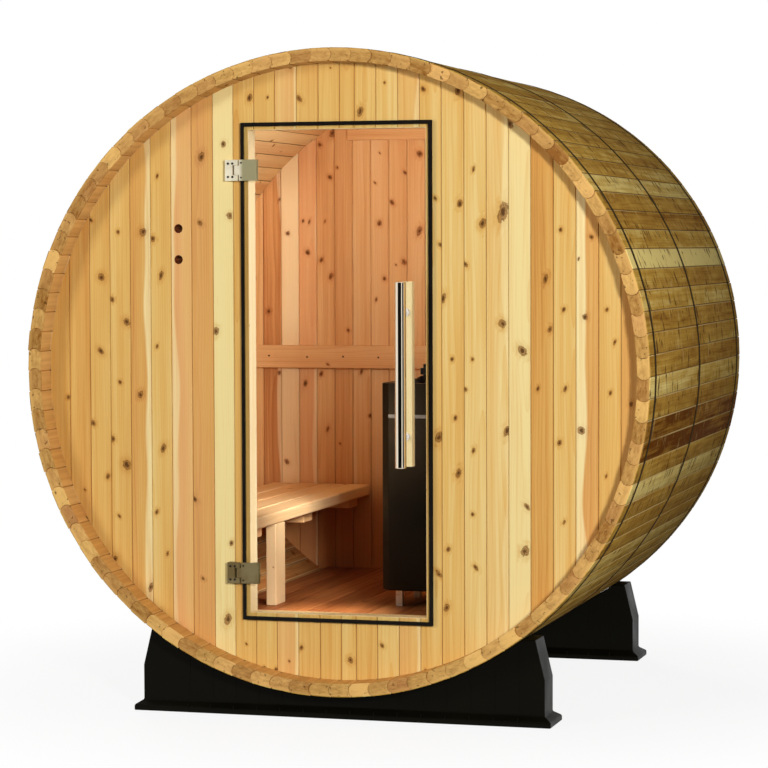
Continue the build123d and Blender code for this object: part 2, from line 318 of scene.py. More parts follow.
class Finish:
    """A material and short ways to add its nodes."""

    def __init__(self, name):
        self.material = bpy.data.materials.new(name)
        self.material.use_nodes = True
        self.tree = self.material.node_tree
        self.tree.nodes.clear()
        self.out = self.tree.nodes.new("ShaderNodeOutputMaterial")

    def add(self, kind, inputs=None, **settings):
        made = self.tree.nodes.new(kind)
        for name, value in settings.items():
            setattr(made, name, value)
        for name, value in (inputs or {}).items():
            self.plug(made.inputs[name], value)
        return made

    def plug(self, socket, value):
        if isinstance(value, bpy.types.NodeSocket):
            self.tree.links.new(value, socket)
        else:
            socket.default_value = value

    def sum(self, operation, first, second=0.0, third=0.0, clamp=False):
        inputs = {0: first, 1: second, 2: third}
        return self.add("ShaderNodeMath", inputs, operation=operation, use_clamp=clamp).outputs[0]

    def nudge(self, base, value, amount, middle=0.5):
        """A value moved by how far another one is from its middle."""
        return self.sum("MULTIPLY_ADD", self.sum("SUBTRACT", value, middle), amount, base)

    def hypot(self, first, second):
        squares = self.sum("ADD", self.sum("MULTIPLY", first, first), self.sum("MULTIPLY", second, second))
        return self.sum("SQRT", squares)

    def vector(self, operation, first, second=(0.0, 0.0, 0.0)):
        made = self.add("ShaderNodeVectorMath", {0: first, 1: second}, operation=operation)
        return made.outputs["Value" if operation in ("LENGTH", "DOT_PRODUCT") else "Vector"]

    def blend(self, share, first, second, way="MIX"):
        made = self.add("ShaderNodeMix", {0: share, 6: first, 7: second}, data_type="RGBA", blend_type=way)
        return made.outputs[2]

    def step(self, value, start, end, low=0.0, high=1.0):
        """A smooth step from one value to another."""
        settings = {"Value": value, "From Min": start, "From Max": end, "To Min": low, "To Max": high}
        return self.add("ShaderNodeMapRange", settings, interpolation_type="SMOOTHSTEP").outputs["Result"]

    def noise(self, place, scale, detail=2.0, roughness=0.5, distortion=0.0):
        settings = {"Vector": place, "Scale": scale, "Detail": detail}
        settings.update({"Roughness": roughness, "Distortion": distortion})
        return self.add("ShaderNodeTexNoise", settings).outputs["Fac"]

    def ramp(self, value, stops):
        made = self.add("ShaderNodeValToRGB", {"Fac": value})
        band = made.color_ramp
        while len(band.elements) < len(stops):
            band.elements.new(1.0)
        for element, (place, colour) in zip(band.elements, stops):
            element.position = place
            element.color = colour
        return made.outputs["Color"]

    def keep(self, name):
        """A vector kept on the points of the piece."""
        return self.add("ShaderNodeAttribute", attribute_name=name).outputs["Vector"]

    def split(self, vector):
        return self.add("ShaderNodeSeparateXYZ", {0: vector}).outputs

    def place(self):
        return self.add("ShaderNodeTexCoord").outputs["Object"]

    def stretched(self, vector, scale):
        return self.vector("MULTIPLY", vector, scale)

    def long_noise(self, place, scale, detail=2.0, roughness=0.5):
        """Noise with a scale of its own along each axis."""
        return self.noise(self.stretched(place, scale), 1.0, detail, roughness)

    def bump(self, height, distance, strength=1.0):
        made = self.add("ShaderNodeBump", {"Height": height, "Distance": distance, "Strength": strength})
        return made.outputs["Normal"]

    def close(self, colour, roughness, normal=None, **settings):
        """Finish with a Principled shader."""
        shader = self.add("ShaderNodeBsdfPrincipled", {"Base Color": colour, "Roughness": roughness})
        for name, value in settings.items():
            shader.inputs[name.replace("_", " ")].default_value = value
        if normal is not None:
            self.plug(shader.inputs["Normal"], normal)
        self.plug(self.out.inputs["Surface"], shader.outputs[0])
        return self.material


def graded(*colours, places=(0.0, 0.45, 0.75, 1.0)):
    """Colours, each with its place on a ramp."""
    return [(place, paint(*colour)) for place, colour in zip(places, colours)]


class Cedar(Finish):
    """Knotty cedar that follows the grain kept on each board."""

    def __init__(self, name, rosy, pale, knot_dark, knot_warm):
        super().__init__(name)
        self.rosy = paint(*rosy)
        self.pale = paint(*pale)
        self.knot_dark = paint(*knot_dark)
        self.knot_warm = paint(*knot_warm)
        grain = self.keep("grain")
        self.along, self.across, self.depth = self.split(grain)
        self.seed, self.tone, self.rose = self.split(self.keep("kind"))
        self.sap_place, self.sap_side, self.sap_share = self.split(self.keep("sap"))
        shift = self.vector("SCALE", (37.0, 11.0, 23.0))
        self.plug(shift.node.inputs["Scale"], self.seed)
        self.own = self.vector("ADD", grain, shift)
        self.grow_knots()
        self.grow_rings()
        self.grow_streaks()

    def grow_knots(self):
        """The nearest knot, measured in its own radius, each slanted its own way, with an uneven rim."""
        nearest = None
        for number in range(1, KNOTS + 1):
            knot_along, knot_across, knot_size = self.split(self.keep(f"knot_{number}"))
            slant = self.sum("SUBTRACT", self.sum("FRACT", self.sum("MULTIPLY", knot_along, 91.7)), 0.5)
            over = self.sum("SUBTRACT", self.across, knot_across)
            down = self.sum("SUBTRACT", self.along, knot_along)
            down = self.sum("MULTIPLY_ADD", over, self.sum("MULTIPLY", slant, 1.5), down)
            down = self.sum("MULTIPLY", down, self.sum("MULTIPLY_ADD", slant, 0.5, 0.85))
            far = self.sum("DIVIDE", self.hypot(down, over), knot_size)
            nearest = far if nearest is None else self.sum("MINIMUM", nearest, far)
        ragged = self.noise(self.own, 110.0, 4.0, 0.65)
        uneven = self.sum("MULTIPLY", self.sum("SUBTRACT", ragged, 0.5), 1.5)
        nearest = self.sum("ADD", nearest, uneven)
        self.pupil = self.step(nearest, 0.66, 0.22)
        self.heart = self.step(nearest, 1.0, 0.80)
        bark = self.step(self.sum("ABSOLUTE", self.sum("SUBTRACT", nearest, 0.84)), 0.14, 0.03)
        self.bark = self.sum("MULTIPLY", bark, self.step(ragged, 0.36, 0.60))
        self.halo = self.step(nearest, 2.6, 0.7)

    def grow_rings(self):
        """Growth rings about a pith that lies beside the board, pushed aside by the knots."""
        sway = self.long_noise(self.own, (1.3, 7.0, 7.0))
        pith = self.sum("MULTIPLY", self.sum("SUBTRACT", self.seed, 0.5), 0.11)
        aside = self.sum("SUBTRACT", self.across, pith)
        under = self.sum("ADD", self.depth, self.sum("MULTIPLY_ADD", self.seed, 0.05, 0.03))
        radius = self.hypot(aside, under)
        radius = self.sum("MULTIPLY_ADD", sway, 0.022, radius)
        radius = self.sum("MULTIPLY_ADD", self.halo, 0.004, radius)
        year = self.sum("FRACT", self.sum("MULTIPLY", radius, 240.0))
        self.late = self.sum("POWER", year, 3.0)

    def grow_streaks(self):
        """Streaks from broad to fine, long along the grain."""
        self.broad = self.long_noise(self.own, (0.9, 17.0, 17.0), 1.0)
        self.streak = self.long_noise(self.own, (1.9, 85.0, 85.0), 3.0, 0.6)
        self.fibre = self.long_noise(self.own, (14.0, 620.0, 620.0))

    def figure(self, tone):
        """How dark the wood is at each point of a board with this tone."""
        mark = self.nudge(tone, self.broad, 0.55)
        mark = self.nudge(mark, self.streak, 0.55)
        mark = self.nudge(mark, self.fibre, 0.10)
        mark = self.nudge(mark, self.late, 0.16, 0.25)
        return self.sum("MULTIPLY_ADD", self.halo, 0.16, mark)

    def two_faced(self, mark, room, outer):
        """The room's tones, with painted shade that darkens them low down, and other tones on the outer
        face.
        """
        # Painted shade: the wall darkens from 0.6 m down to 0.46 m and stays dark below, where the bench
        # and heater shade it.
        low_down = self.step(self.along, 0.60, 0.46)
        painted_low_shade = self.sum("MULTIPLY_ADD", low_down, self.sum("MULTIPLY_ADD", mark, -0.8, 0.8), mark)
        behind = self.step(self.depth, -0.030, -0.036)
        return self.blend(behind, self.ramp(painted_low_shade, room), self.ramp(mark, outer))

    def blushed(self, colour):
        """Redder wood in some boards."""
        self.blush = self.sum("MULTIPLY", self.rose, self.step(self.broad, 0.3, 0.7, 0.45, 1.0), clamp=True)
        return self.blend(self.blush, colour, self.blend(0.65, colour, self.rosy))

    def sapped(self, colour):
        """A pale sapwood edge on some boards."""
        edge = self.sum("MULTIPLY", self.sum("SUBTRACT", self.across, self.sap_place), self.sap_side)
        bend = self.long_noise(self.own, (2.4, 0.5, 0.5), 1.0)
        edge = self.nudge(edge, bend, 0.06)
        edge = self.sum("MULTIPLY", self.step(edge, -0.003, 0.004), self.sap_share)
        flecked = self.blend(self.step(self.streak, 0.3, 0.75, 0.0, 0.5), self.pale, colour)
        return self.blend(edge, colour, flecked)

    def weathered(self, stain):
        """A stave's stained outer face: blotches, dark marks, a painted highlight along one edge and a
        painted shadow along the other.
        """
        blotch = self.long_noise(self.own, (7.0, 22.0, 1.0), 3.0, 0.6)
        weather = self.nudge(self.tone, self.broad, 0.5)
        weather = self.nudge(weather, self.streak, 0.7)
        weather = self.nudge(weather, blotch, 0.7)
        weather = self.nudge(weather, self.late, 0.12, 0.25)
        coat = self.ramp(weather, stain)
        marks = self.long_noise(self.own, (44.0, 16.0, 1.0))
        coat = self.blend(self.step(marks, 0.585, 0.65, 0.0, 0.55), coat, self.knot_warm)
        coat = self.blend(self.step(marks, 0.635, 0.70, 0.0, 0.8), coat, self.knot_dark)
        coat = self.blend(self.step(marks, 0.38, 0.30, 0.0, 0.3), coat, self.pale)
        # Painted highlight along the edge that faces up on the right side, and painted shadow along the
        # other edge.
        upper = self.step(self.across, -0.0258, -0.0280, 0.0, 0.9)
        upper = self.sum("MULTIPLY", upper, self.step(self.streak, 0.25, 0.6))
        coat = self.blend(upper, coat, self.pale)
        lower = self.step(self.across, 0.0274, 0.0288, 0.0, 0.8)
        return self.blend(lower, coat, self.knot_dark)

    def jointed(self, colour, eased):
        """Painted highlight on the rounded edges, and dark joints between staves on the side of the room.
        """
        from_middle = self.sum("ABSOLUTE", self.across)
        room_side = self.step(self.depth, -0.030, -0.034)
        # Painted highlight: the rounded edges are blended towards the palest tone.
        rounded = self.sum("MULTIPLY", self.step(from_middle, 0.0232, 0.0246, 0.0, 0.45), room_side)
        colour = self.blend(rounded, colour, eased)
        joint = self.sum("MULTIPLY", self.step(from_middle, 0.0262, 0.0276, 0.0, 0.75), room_side)
        return self.blend(joint, colour, self.knot_warm)

    def sawn_off(self, colour, fresh, burnt, outdoor):
        """A stave's ends: the length outside the walls, then the sawn end grain with a painted highlight
        along its outer rim.
        """
        from_end = self.sum("MINIMUM", self.along, self.sum("SUBTRACT", LENGTH, self.along))
        past_wall = self.blend(self.step(self.streak, 0.3, 0.7, 0.0, 0.3), paint(*outdoor), paint(*burnt))
        colour = self.blend(self.step(from_end, 0.082, 0.068, 0.0, 0.8), colour, past_wall)
        spots = self.long_noise(self.own, (1.0, 40.0, 110.0), 4.0, 0.7)
        dark = self.sum("MULTIPLY_ADD", self.sum("SUBTRACT", spots, 0.5), 1.3, self.sap_side, clamp=True)
        # Painted highlight: the end grain is paler towards its outer rim, where the rounded edge catches
        # light.
        wear_and_rim_highlight = self.step(self.depth, -0.013, -0.004, 0.0, 0.35)
        wear_and_rim_highlight = self.sum("MULTIPLY", wear_and_rim_highlight, self.step(spots, 0.35, 0.6))
        dark = self.sum("SUBTRACT", dark, wear_and_rim_highlight, clamp=True)
        sawn = self.blend(dark, paint(*fresh), paint(*burnt))
        sawn = self.blend(self.sum("MULTIPLY", self.blush, 0.35), sawn, self.rosy)
        chips = self.long_noise(self.own, (1.0, 80.0, 80.0), 3.0)
        sawn = self.blend(self.step(chips, 0.62, 0.72, 0.0, 0.75), sawn, self.knot_dark)
        return self.blend(self.step(from_end, 0.005, 0.0015), colour, sawn)

    def finished(self, colour, gloss, dry=0.0):
        """Knots over the wood, then the shader."""
        layers = (
            (self.halo, 0.08, self.knot_warm),
            (self.heart, 0.72, self.knot_warm),
            (self.bark, 0.7, self.knot_dark),
            (self.pupil, 0.85, self.knot_dark),
        )
        for mask, share, tint in layers:
            colour = self.blend(self.sum("MULTIPLY", mask, share), colour, tint)
        rough = self.sum("MULTIPLY_ADD", self.streak, 0.28, 0.42 + dry)
        height = self.sum("MULTIPLY_ADD", self.fibre, 0.5, self.sum("MULTIPLY", self.late, 0.5))
        height = self.sum("SUBTRACT", height, self.sum("MULTIPLY", self.pupil, 0.8))
        normal = self.bump(height, 0.0004, 0.6)
        return self.close(colour, rough, normal, Specular_IOR_Level=gloss)


def board_cedar(name, tones, tints, outer=None, gloss=0.25):
    """Cedar boards, with other tones on the outer face where they are given."""
    wood = Cedar(name, *tints)
    mark = wood.figure(wood.tone)
    if outer is None:
        colour = wood.ramp(mark, tones)
    else:
        colour = wood.two_faced(mark, tones, outer)
    colour = wood.sapped(wood.blushed(colour))
    return wood.finished(colour, gloss)


def stained_cedar(name, tones, tints, stain, end_grain):
    """Staves: bare on the side of the room, weathered at the ends and stained outside, each face with
    painted light and shade.
    """
    wood = Cedar(name, *tints)
    # For staves the sapwood place carries the room tone, which holds painted light and shade by height.
    colour = wood.ramp(wood.figure(wood.sap_place), tones)
    colour = wood.sapped(wood.blushed(colour))
    colour = wood.jointed(colour, tones[0][1])
    colour = wood.sawn_off(colour, *end_grain)
    outside = wood.step(wood.depth, -0.0034, -0.0012)
    colour = wood.blend(outside, colour, wood.weathered(stain))
    return wood.finished(colour, gloss=0.02, dry=0.3)


# Tones run from pale to dark. Tints are rosy wood, pale sapwood, a knot's dark core and its warm rim.
FRONT_TONES = graded((238, 216, 150), (223, 180, 102), (209, 153, 76), (180, 120, 52))
ROOM_TONES = graded((240, 208, 160), (228, 177, 119), (208, 146, 88), (168, 102, 52))
FLOOR_TONES = graded((214, 164, 112), (184, 124, 74), (152, 92, 50), (112, 60, 28))
LINING_TONES = graded((250, 230, 186), (242, 212, 158), (226, 186, 124), (200, 150, 86))
GRIP_TONES = graded((246, 226, 176), (238, 212, 156), (222, 188, 126), (194, 152, 92))
STAVE_TONES = graded((240, 208, 150), (222, 174, 112), (202, 146, 84), (166, 104, 54))
STAIN_PLACES = (0.0, 0.42, 0.75, 1.0)
STAIN_TONES = graded((246, 220, 136), (200, 156, 68), (164, 116, 44), (106, 58, 12), places=STAIN_PLACES)
END_GRAIN = ((232, 185, 108), (138, 88, 34), (216, 160, 84))

FRONT_TINTS = ((231, 170, 118), (244, 224, 164), (70, 37, 12), (146, 95, 40))
ROOM_TINTS = ((224, 152, 104), (240, 210, 164), (78, 36, 12), (150, 82, 38))
FLOOR_TINTS = ((170, 100, 62), (214, 166, 116), (66, 30, 10), (120, 66, 30))
LINING_TINTS = ((236, 190, 140), (250, 234, 190), (70, 37, 12), (146, 95, 40))
GRIP_TINTS = ((236, 196, 150), (248, 232, 186), (70, 37, 12), (146, 95, 40))
STAVE_TINTS = ((222, 152, 104), (226, 196, 130), (66, 40, 16), (132, 88, 42))

front_cedar = board_cedar("front_cedar", FRONT_TONES, FRONT_TINTS)
inside_cedar = board_cedar("inside_cedar", ROOM_TONES, ROOM_TINTS)
# The rear boards get painted shade low down on the side of the room.
rear_cedar = board_cedar("rear_cedar", ROOM_TONES, ROOM_TINTS, outer=FRONT_TONES)
floor_cedar = board_cedar("floor_cedar", FLOOR_TONES, FLOOR_TINTS)
lining_cedar = board_cedar("lining_cedar", LINING_TONES, LINING_TINTS)
grip_cedar = board_cedar("grip_cedar", GRIP_TONES, GRIP_TINTS, gloss=0.45)
stave_cedar = stained_cedar("stave_cedar", STAVE_TONES, STAVE_TINTS, STAIN_TONES, END_GRAIN)


def metal(name, colour, dull, streaks, low, high, bare=1.0):
    """Bare metal with fine lines worked into it."""
    steel = Finish(name)
    place = steel.place()
    lines = steel.long_noise(place, streaks, 3.0, 0.65)
    cloud = steel.noise(place, 34.0, 2.0)
    shade = steel.sum("MULTIPLY_ADD", lines, 0.7, steel.sum("MULTIPLY", cloud, 0.3))
    colour = steel.blend(steel.step(shade, 0.35, 0.65, 0.0, 0.25), paint(*colour), paint(*dull))
    rough = steel.step(shade, 0.3, 0.7, low, high)
    normal = steel.bump(lines, 0.00006, 0.4)
    return steel.close(colour, rough, normal, Metallic=bare)


def satin(name, fresh, clamp, lower_pair_shade):
    """Satin nickel for the hinges, with painted shade: darker on the glass leaf and on the lower pair."""
    nickel = Finish(name)
    place = nickel.place()
    side, _, height = nickel.split(place)
    lines = nickel.long_noise(place, (8.0, 8.0, 900.0), 3.0, 0.65)
    cloud = nickel.noise(place, 22.0, 2.0)
    # Painted shade: the glass leaf and the lower hinge get darker copies of the same nickel.
    colour = nickel.blend(nickel.step(side, -0.286, -0.270), fresh, clamp)
    colour = nickel.blend(nickel.step(height, 1.2, 0.8), colour, lower_pair_shade)
    colour = nickel.blend(nickel.step(cloud, 0.35, 0.7, 0.0, 0.3), colour, clamp)
    rough = nickel.step(lines, 0.3, 0.7, 0.36, 0.5)
    return nickel.close(colour, rough, nickel.bump(lines, 0.00005, 0.4), Metallic=0.2)


def coated(name, colour, wear_and_rim_highlight, grain_size, low, high, distance, gloss=0.4):
    """Black moulding, rubber or paint with a fine grain and faint wear."""
    skin = Finish(name)
    place = skin.place()
    pebble = skin.noise(place, grain_size, 3.0, 0.6)
    cloud = skin.noise(place, 9.0, 3.0)
    share = skin.sum("MULTIPLY", skin.step(cloud, 0.4, 0.75), skin.step(pebble, 0.35, 0.7, 0.35, 1.0))
    colour = skin.blend(share, paint(*colour), paint(*wear_and_rim_highlight))
    rough = skin.step(cloud, 0.3, 0.7, low, high)
    normal = skin.bump(pebble, distance, 0.5)
    return skin.close(colour, rough, normal, Specular_IOR_Level=gloss)


def clear_glass(name):
    """Toughened glass that lets the lamps through to the room behind."""
    pane = Finish(name)
    haze = pane.noise(pane.place(), 3.0, 3.0)
    rough = pane.step(haze, 0.45, 0.8, 0.0, 0.012)
    settings = {"Base Color": (0.975, 0.99, 0.98, 1.0), "Roughness": rough}
    settings.update({"IOR": 1.45, "Transmission Weight": 1.0})
    shader = pane.add("ShaderNodeBsdfPrincipled", settings)
    lets_through = pane.add("ShaderNodeBsdfTransparent", {"Color": (0.95, 0.96, 0.95, 1.0)})
    path = pane.add("ShaderNodeLightPath")
    both = pane.add("ShaderNodeMixShader", {0: path.outputs["Is Shadow Ray"]})
    pane.plug(both.inputs[1], shader.outputs[0])
    pane.plug(both.inputs[2], lets_through.outputs[0])
    pane.plug(pane.out.inputs["Surface"], both.outputs[0])
    return pane.material


def kiln_stone(name):
    """Rough dark stone for the heater's top."""
    stone = Finish(name)
    place = stone.place()
    cloud = stone.noise(place, 26.0, 4.0, 0.65)
    speck = stone.noise(place, 420.0, 2.0)
    colour = stone.ramp(cloud, graded((30, 26, 23), (52, 45, 40), (74, 65, 58), places=(0.3, 0.6, 0.8)))
    colour = stone.blend(stone.step(speck, 0.62, 0.7, 0.0, 0.4), colour, paint(104, 94, 84))
    normal = stone.bump(stone.sum("ADD", cloud, stone.sum("MULTIPLY", speck, 0.3)), 0.002, 0.6)
    return stone.close(colour, stone.step(cloud, 0.3, 0.8, 0.7, 0.95), normal, Specular_IOR_Level=0.3)


BRUSHED_UP = (400.0, 400.0, 6.0)
BRUSHED_ACROSS = (6.0, 300.0, 300.0)

band_steel = coated("band_steel", (56, 41, 16), (74, 56, 26), 300.0, 0.7, 0.85, 0.0001, 0.02)
# The second and third colours are painted shade for the glass leaf and the lower pair.
satin_hinge = satin("satin_hinge", paint(250, 240, 212), paint(160, 152, 114), paint(108, 90, 52))
polished_bar = metal("polished_bar", (236, 224, 202), (222, 208, 184), BRUSHED_UP, 0.03, 0.07)
heater_metal = metal("heater_metal", (236, 232, 222), (186, 180, 168), BRUSHED_ACROSS, 0.25, 0.4, 0.35)
strip_steel = metal("strip_steel", (88, 80, 72), (66, 60, 54), BRUSHED_ACROSS, 0.4, 0.55, 0.1)
black_seal = coated("black_seal", (16, 13, 10), (28, 22, 16), 900.0, 0.4, 0.55, 0.0001, 0.12)
catch_black = coated("catch_black", (26, 22, 18), (46, 40, 33), 700.0, 0.35, 0.5, 0.0001, 0.2)
heater_black = coated("heater_black", (28, 21, 13), (34, 26, 17), 1100.0, 0.42, 0.55, 0.00003, 0.12)
cradle_black = coated("cradle_black", (11, 10, 5), (16, 14, 8), 520.0, 0.35, 0.5, 0.0001, 0.06)
# Painted reflection: a pale matt coat that stands in for the bright reflections of the chrome posts, feet
# and spacers.
painted_post_reflection = coated("painted_post_reflection", (240, 236, 228), (218, 212, 202), 300.0, 0.3, 0.45, 0.00005, 0.5)
# Painted shade: dark brown for the tubes that stand in for the shade inside the ports.
port_shade_brown = coated("port_shade_brown", (112, 48, 26), (144, 74, 42), 260.0, 0.5, 0.65, 0.0002, 0.2)
door_glass = clear_glass("door_glass")
heater_stone = kiln_stone("heater_stone")


# Barrel staves


STAVE_GROUP = 8
STAVE_WIDTH = 0.057
STAVE_GAP = 0.0004
OUTER_ROUND = 0.0024
ROOM_ROUND = 0.0042
END_ROUND = 0.0009
END_UNEVEN = 0.0024
END_LEAST, END_MOST = -0.005, 0.004

# The bead on a stave's edge: heights as shares of its thickness, and how far it swells there.
BEAD_SHARES = (0.10, 0.18, 0.32, 0.5, 0.68, 0.82, 0.90)
BEAD_SWELL = (0.0, 0.0044, 0.0072, 0.0082, 0.0072, 0.0044, 0.0)

# Stain of the staves that stand out, by number up or down from the middle of the right side.
STANDOUT_STAIN = {
    -7: 0.62,
    -6: 0.14,
    -5: 0.5,
    -4: 1.02,
    -3: 0.94,
    -2: 0.58,
    3: 0.36,
    4: 0.55,
    5: -0.14,
    6: 0.4,
    7: 0.66,
    8: 0.58,
}


def make_stave():
    """One stave at the top of the barrel, with a bead on one edge and a cove on the other."""
    top = OUTER * math.cos(HALF_ANGLE)
    bottom = INNER * math.cos(HALF_ANGLE)
    half_top = OUTER * math.sin(HALF_ANGLE) - STAVE_GAP
    half_bottom = INNER * math.sin(HALF_ANGLE) - STAVE_GAP
    thick = top - bottom
    stave = block("stave", (-half_top, FRONT_END, AXIS_Z + bottom), (half_top, BACK_END, AXIS_Z + top))
    choose(stave, "VERT", lambda p: p.z < AXIS_Z + bottom + thick / 2)
    bpy.ops.transform.resize(value=(half_bottom / half_top, 1, 1), center_override=(0, 0, AXIS_Z + bottom))
    done()
    for share in BEAD_SHARES:
        saw(stave, (0, 0, AXIS_Z + bottom + thick * share), Z)
    for share, swell in zip(BEAD_SHARES, BEAD_SWELL):
        height = AXIS_Z + bottom + thick * share
        choose(stave, "VERT", lambda p: abs(p.z - height) < TOUCH)
        bpy.ops.transform.translate(value=(swell, 0, 0))
        done()
    low, high = AXIS_Z + bottom + TOUCH, AXIS_Z + top - TOUCH
    bevel_edges(stave, lambda a, b: min(a.z, b.z) > high and abs(a.y - b.y) > 1, OUTER_ROUND)
    bevel_edges(stave, lambda a, b: max(a.z, b.z) < low and abs(a.y - b.y) > 1, ROOM_ROUND)
    near_end = BACK_END - 0.005
    past_round = 0.0002
    full_width = 0.02

    def on_end_rim(a, b):
        if abs(a.y - b.y) > TOUCH or abs(a.y) < near_end:
            return False
        level = abs(a.z - b.z) < 1e-6
        between = low + ROOM_ROUND + past_round < a.z < high - OUTER_ROUND - past_round
        return not (level and between and abs(a.x - b.x) > full_width)

    bevel_edges(stave, on_end_rim, END_ROUND)
    lay_grain(stave, Y, X, Z, (0, FRONT_END, AXIS_Z + top))
    return stave


def stave_tone(number):
    """How dark a stave is stained: a few staves on the right stand out."""
    signed = number if number < STAVES // 2 else number - STAVES
    if signed in STANDOUT_STAIN:
        return STANDOUT_STAIN[signed]
    return min(0.85, max(0.2, chance.gauss(0.48, 0.13)))


def end_tone(number):
    """How far a stave's end grain has darkened: least at the lower right, and a few look fresh."""
    angle = (number + 0.5) * STAVE_ANGLE
    usual = 0.50 + 0.12 * max(math.sin(angle + 0.5), 0) ** 2 - 0.06 * max(math.cos(angle + 0.6), 0) ** 4
    fresh = 0.35 if number * 37 % 9 == 0 else 0.0
    return min(1.0, max(0.0, usual - fresh + chance.gauss(0, 0.2)))


def room_shade_tone(number):
    """How dark a stave is inside, with painted light and shade: paler towards the top and much darker low
    down.
    """
    rise = math.sin((number + 0.5) * STAVE_ANGLE)
    # Painted light on the upper staves and painted shade on the lower ones, on top of a random spread.
    usual = 0.26 - 0.16 * max(rise, 0) if rise > -0.1 else 0.26 + 1.4 * min(0.48, -0.1 - rise)
    return min(0.9, max(0.02, usual + chance.gauss(0, 0.15)))


def make_barrel():
    """All the staves with uneven ends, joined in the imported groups."""
    model = make_stave()
    axis = Vector((0, 0, AXIS_Z))
    for group in range(STAVES // STAVE_GROUP):
        staves = []
        for number in range(group * STAVE_GROUP, (group + 1) * STAVE_GROUP):
            piece = copied(model, f"stave_{number:02d}")
            turn = math.pi / 2 - (number + 0.5) * STAVE_ANGLE
            move = Vector((0, max(END_LEAST, min(END_MOST, chance.gauss(0, END_UNEVEN))), 0))
            piece.matrix_world = (
                Matrix.Translation(axis + move) @ Matrix.Rotation(turn, 4, "Y") @ Matrix.Translation(-axis)
            )
            grade(
                piece,
                stave_tone(number),
                rose=max(0.0, chance.gauss(0.15, 0.3)),
                # The room tone has painted light and shade by height.
                sap=(room_shade_tone(number), end_tone(number), 0.0),
                knots=some_knots(LENGTH, STAVE_WIDTH, spacing=0.28, smallest=0.003, largest=0.008),
            )
            staves.append(piece)
        shell = joined(staves, f"barrel_staves_{group + 1:02d}")
        smooth(shell, 25)
        fit(shell, stave_cedar, "barrel", "cedar_stave", f"staves_{group + 1:02d}")
    bpy.data.objects.remove(model)


make_barrel()


# Wall boards


BOARD = 0.0632
BOARD_FOOT, BOARD_TOP = 0.02, 1.96
TONGUE = 0.006
GROOVE = 0.0066
WALL_GAP = 0.0003


def make_board(front, back, gap, corner):
    """One tongued and grooved board, longer than any place needs, with eased corners."""
    half = BOARD / 2 - gap / 2
    board = block("board", (-half, front, BOARD_FOOT), (half, back, BOARD_TOP))
    third = (back - front) / 3
    for level in (front + third, back - third):
        saw(board, (0, level, 0), Y)

    def on_side(side):
        return lambda c, n: n.x * side > 0.9 and front + third < c.y < back - third

    push_faces(board, on_side(1), (TONGUE, 0, 0))
    push_faces(board, on_side(-1), (GROOVE, 0, 0))
    set_outward(board)

    def on_corner(a, b):
        outer = min(abs(a.y - front), abs(a.y - back)) < TOUCH
        return outer and abs(a.z - b.z) > 1 and abs(abs(a.x) - half) < TOUCH

    bevel_edges(board, on_corner, corner, 1)
    return board


def trim_round(board, left, right):
    """Saw a board's ends to the flats inside the barrel."""
    spare = 0.002
    apothem = INNER * math.cos(HALF_ANGLE) - WALL_GAP
    for number in range(STAVES):
        angle = (number + 0.5) * STAVE_ANGLE
        ends = [INNER * math.cos(angle - HALF_ANGLE), INNER * math.cos(angle + HALF_ANGLE)]
        if max(ends) < left - spare or min(ends) > right + TONGUE + spare:
            continue
        normal = (math.cos(angle), 0, math.sin(angle))
        place = (apothem * normal[0], 0, AXIS_Z + apothem * normal[2])
        saw(board, place, normal, "outer")


def cut_board(model, left, right, name):
    """A copy of the board, set to its width and place."""
    board = copied(model, name)
    spare = (right - left) - BOARD
    middle = (left + right) / 2
    for side in (-1, 1):
        choose(board, "VERT", lambda p: p.x * side > 0)
        bpy.ops.transform.translate(value=(side * spare / 2, 0, 0))
        done()
    take(board)
    board.location.x = middle
    bpy.ops.object.transform_apply(location=True, rotation=True, scale=True)
    return board


def in_metres(sap, knots):
    """A board's sapwood edge and knots, from millimetres."""
    sap = (sap[0] * MM, sap[1], sap[2])
    return sap, [(height * MM, place * MM, size * MM) for height, place, size in knots]


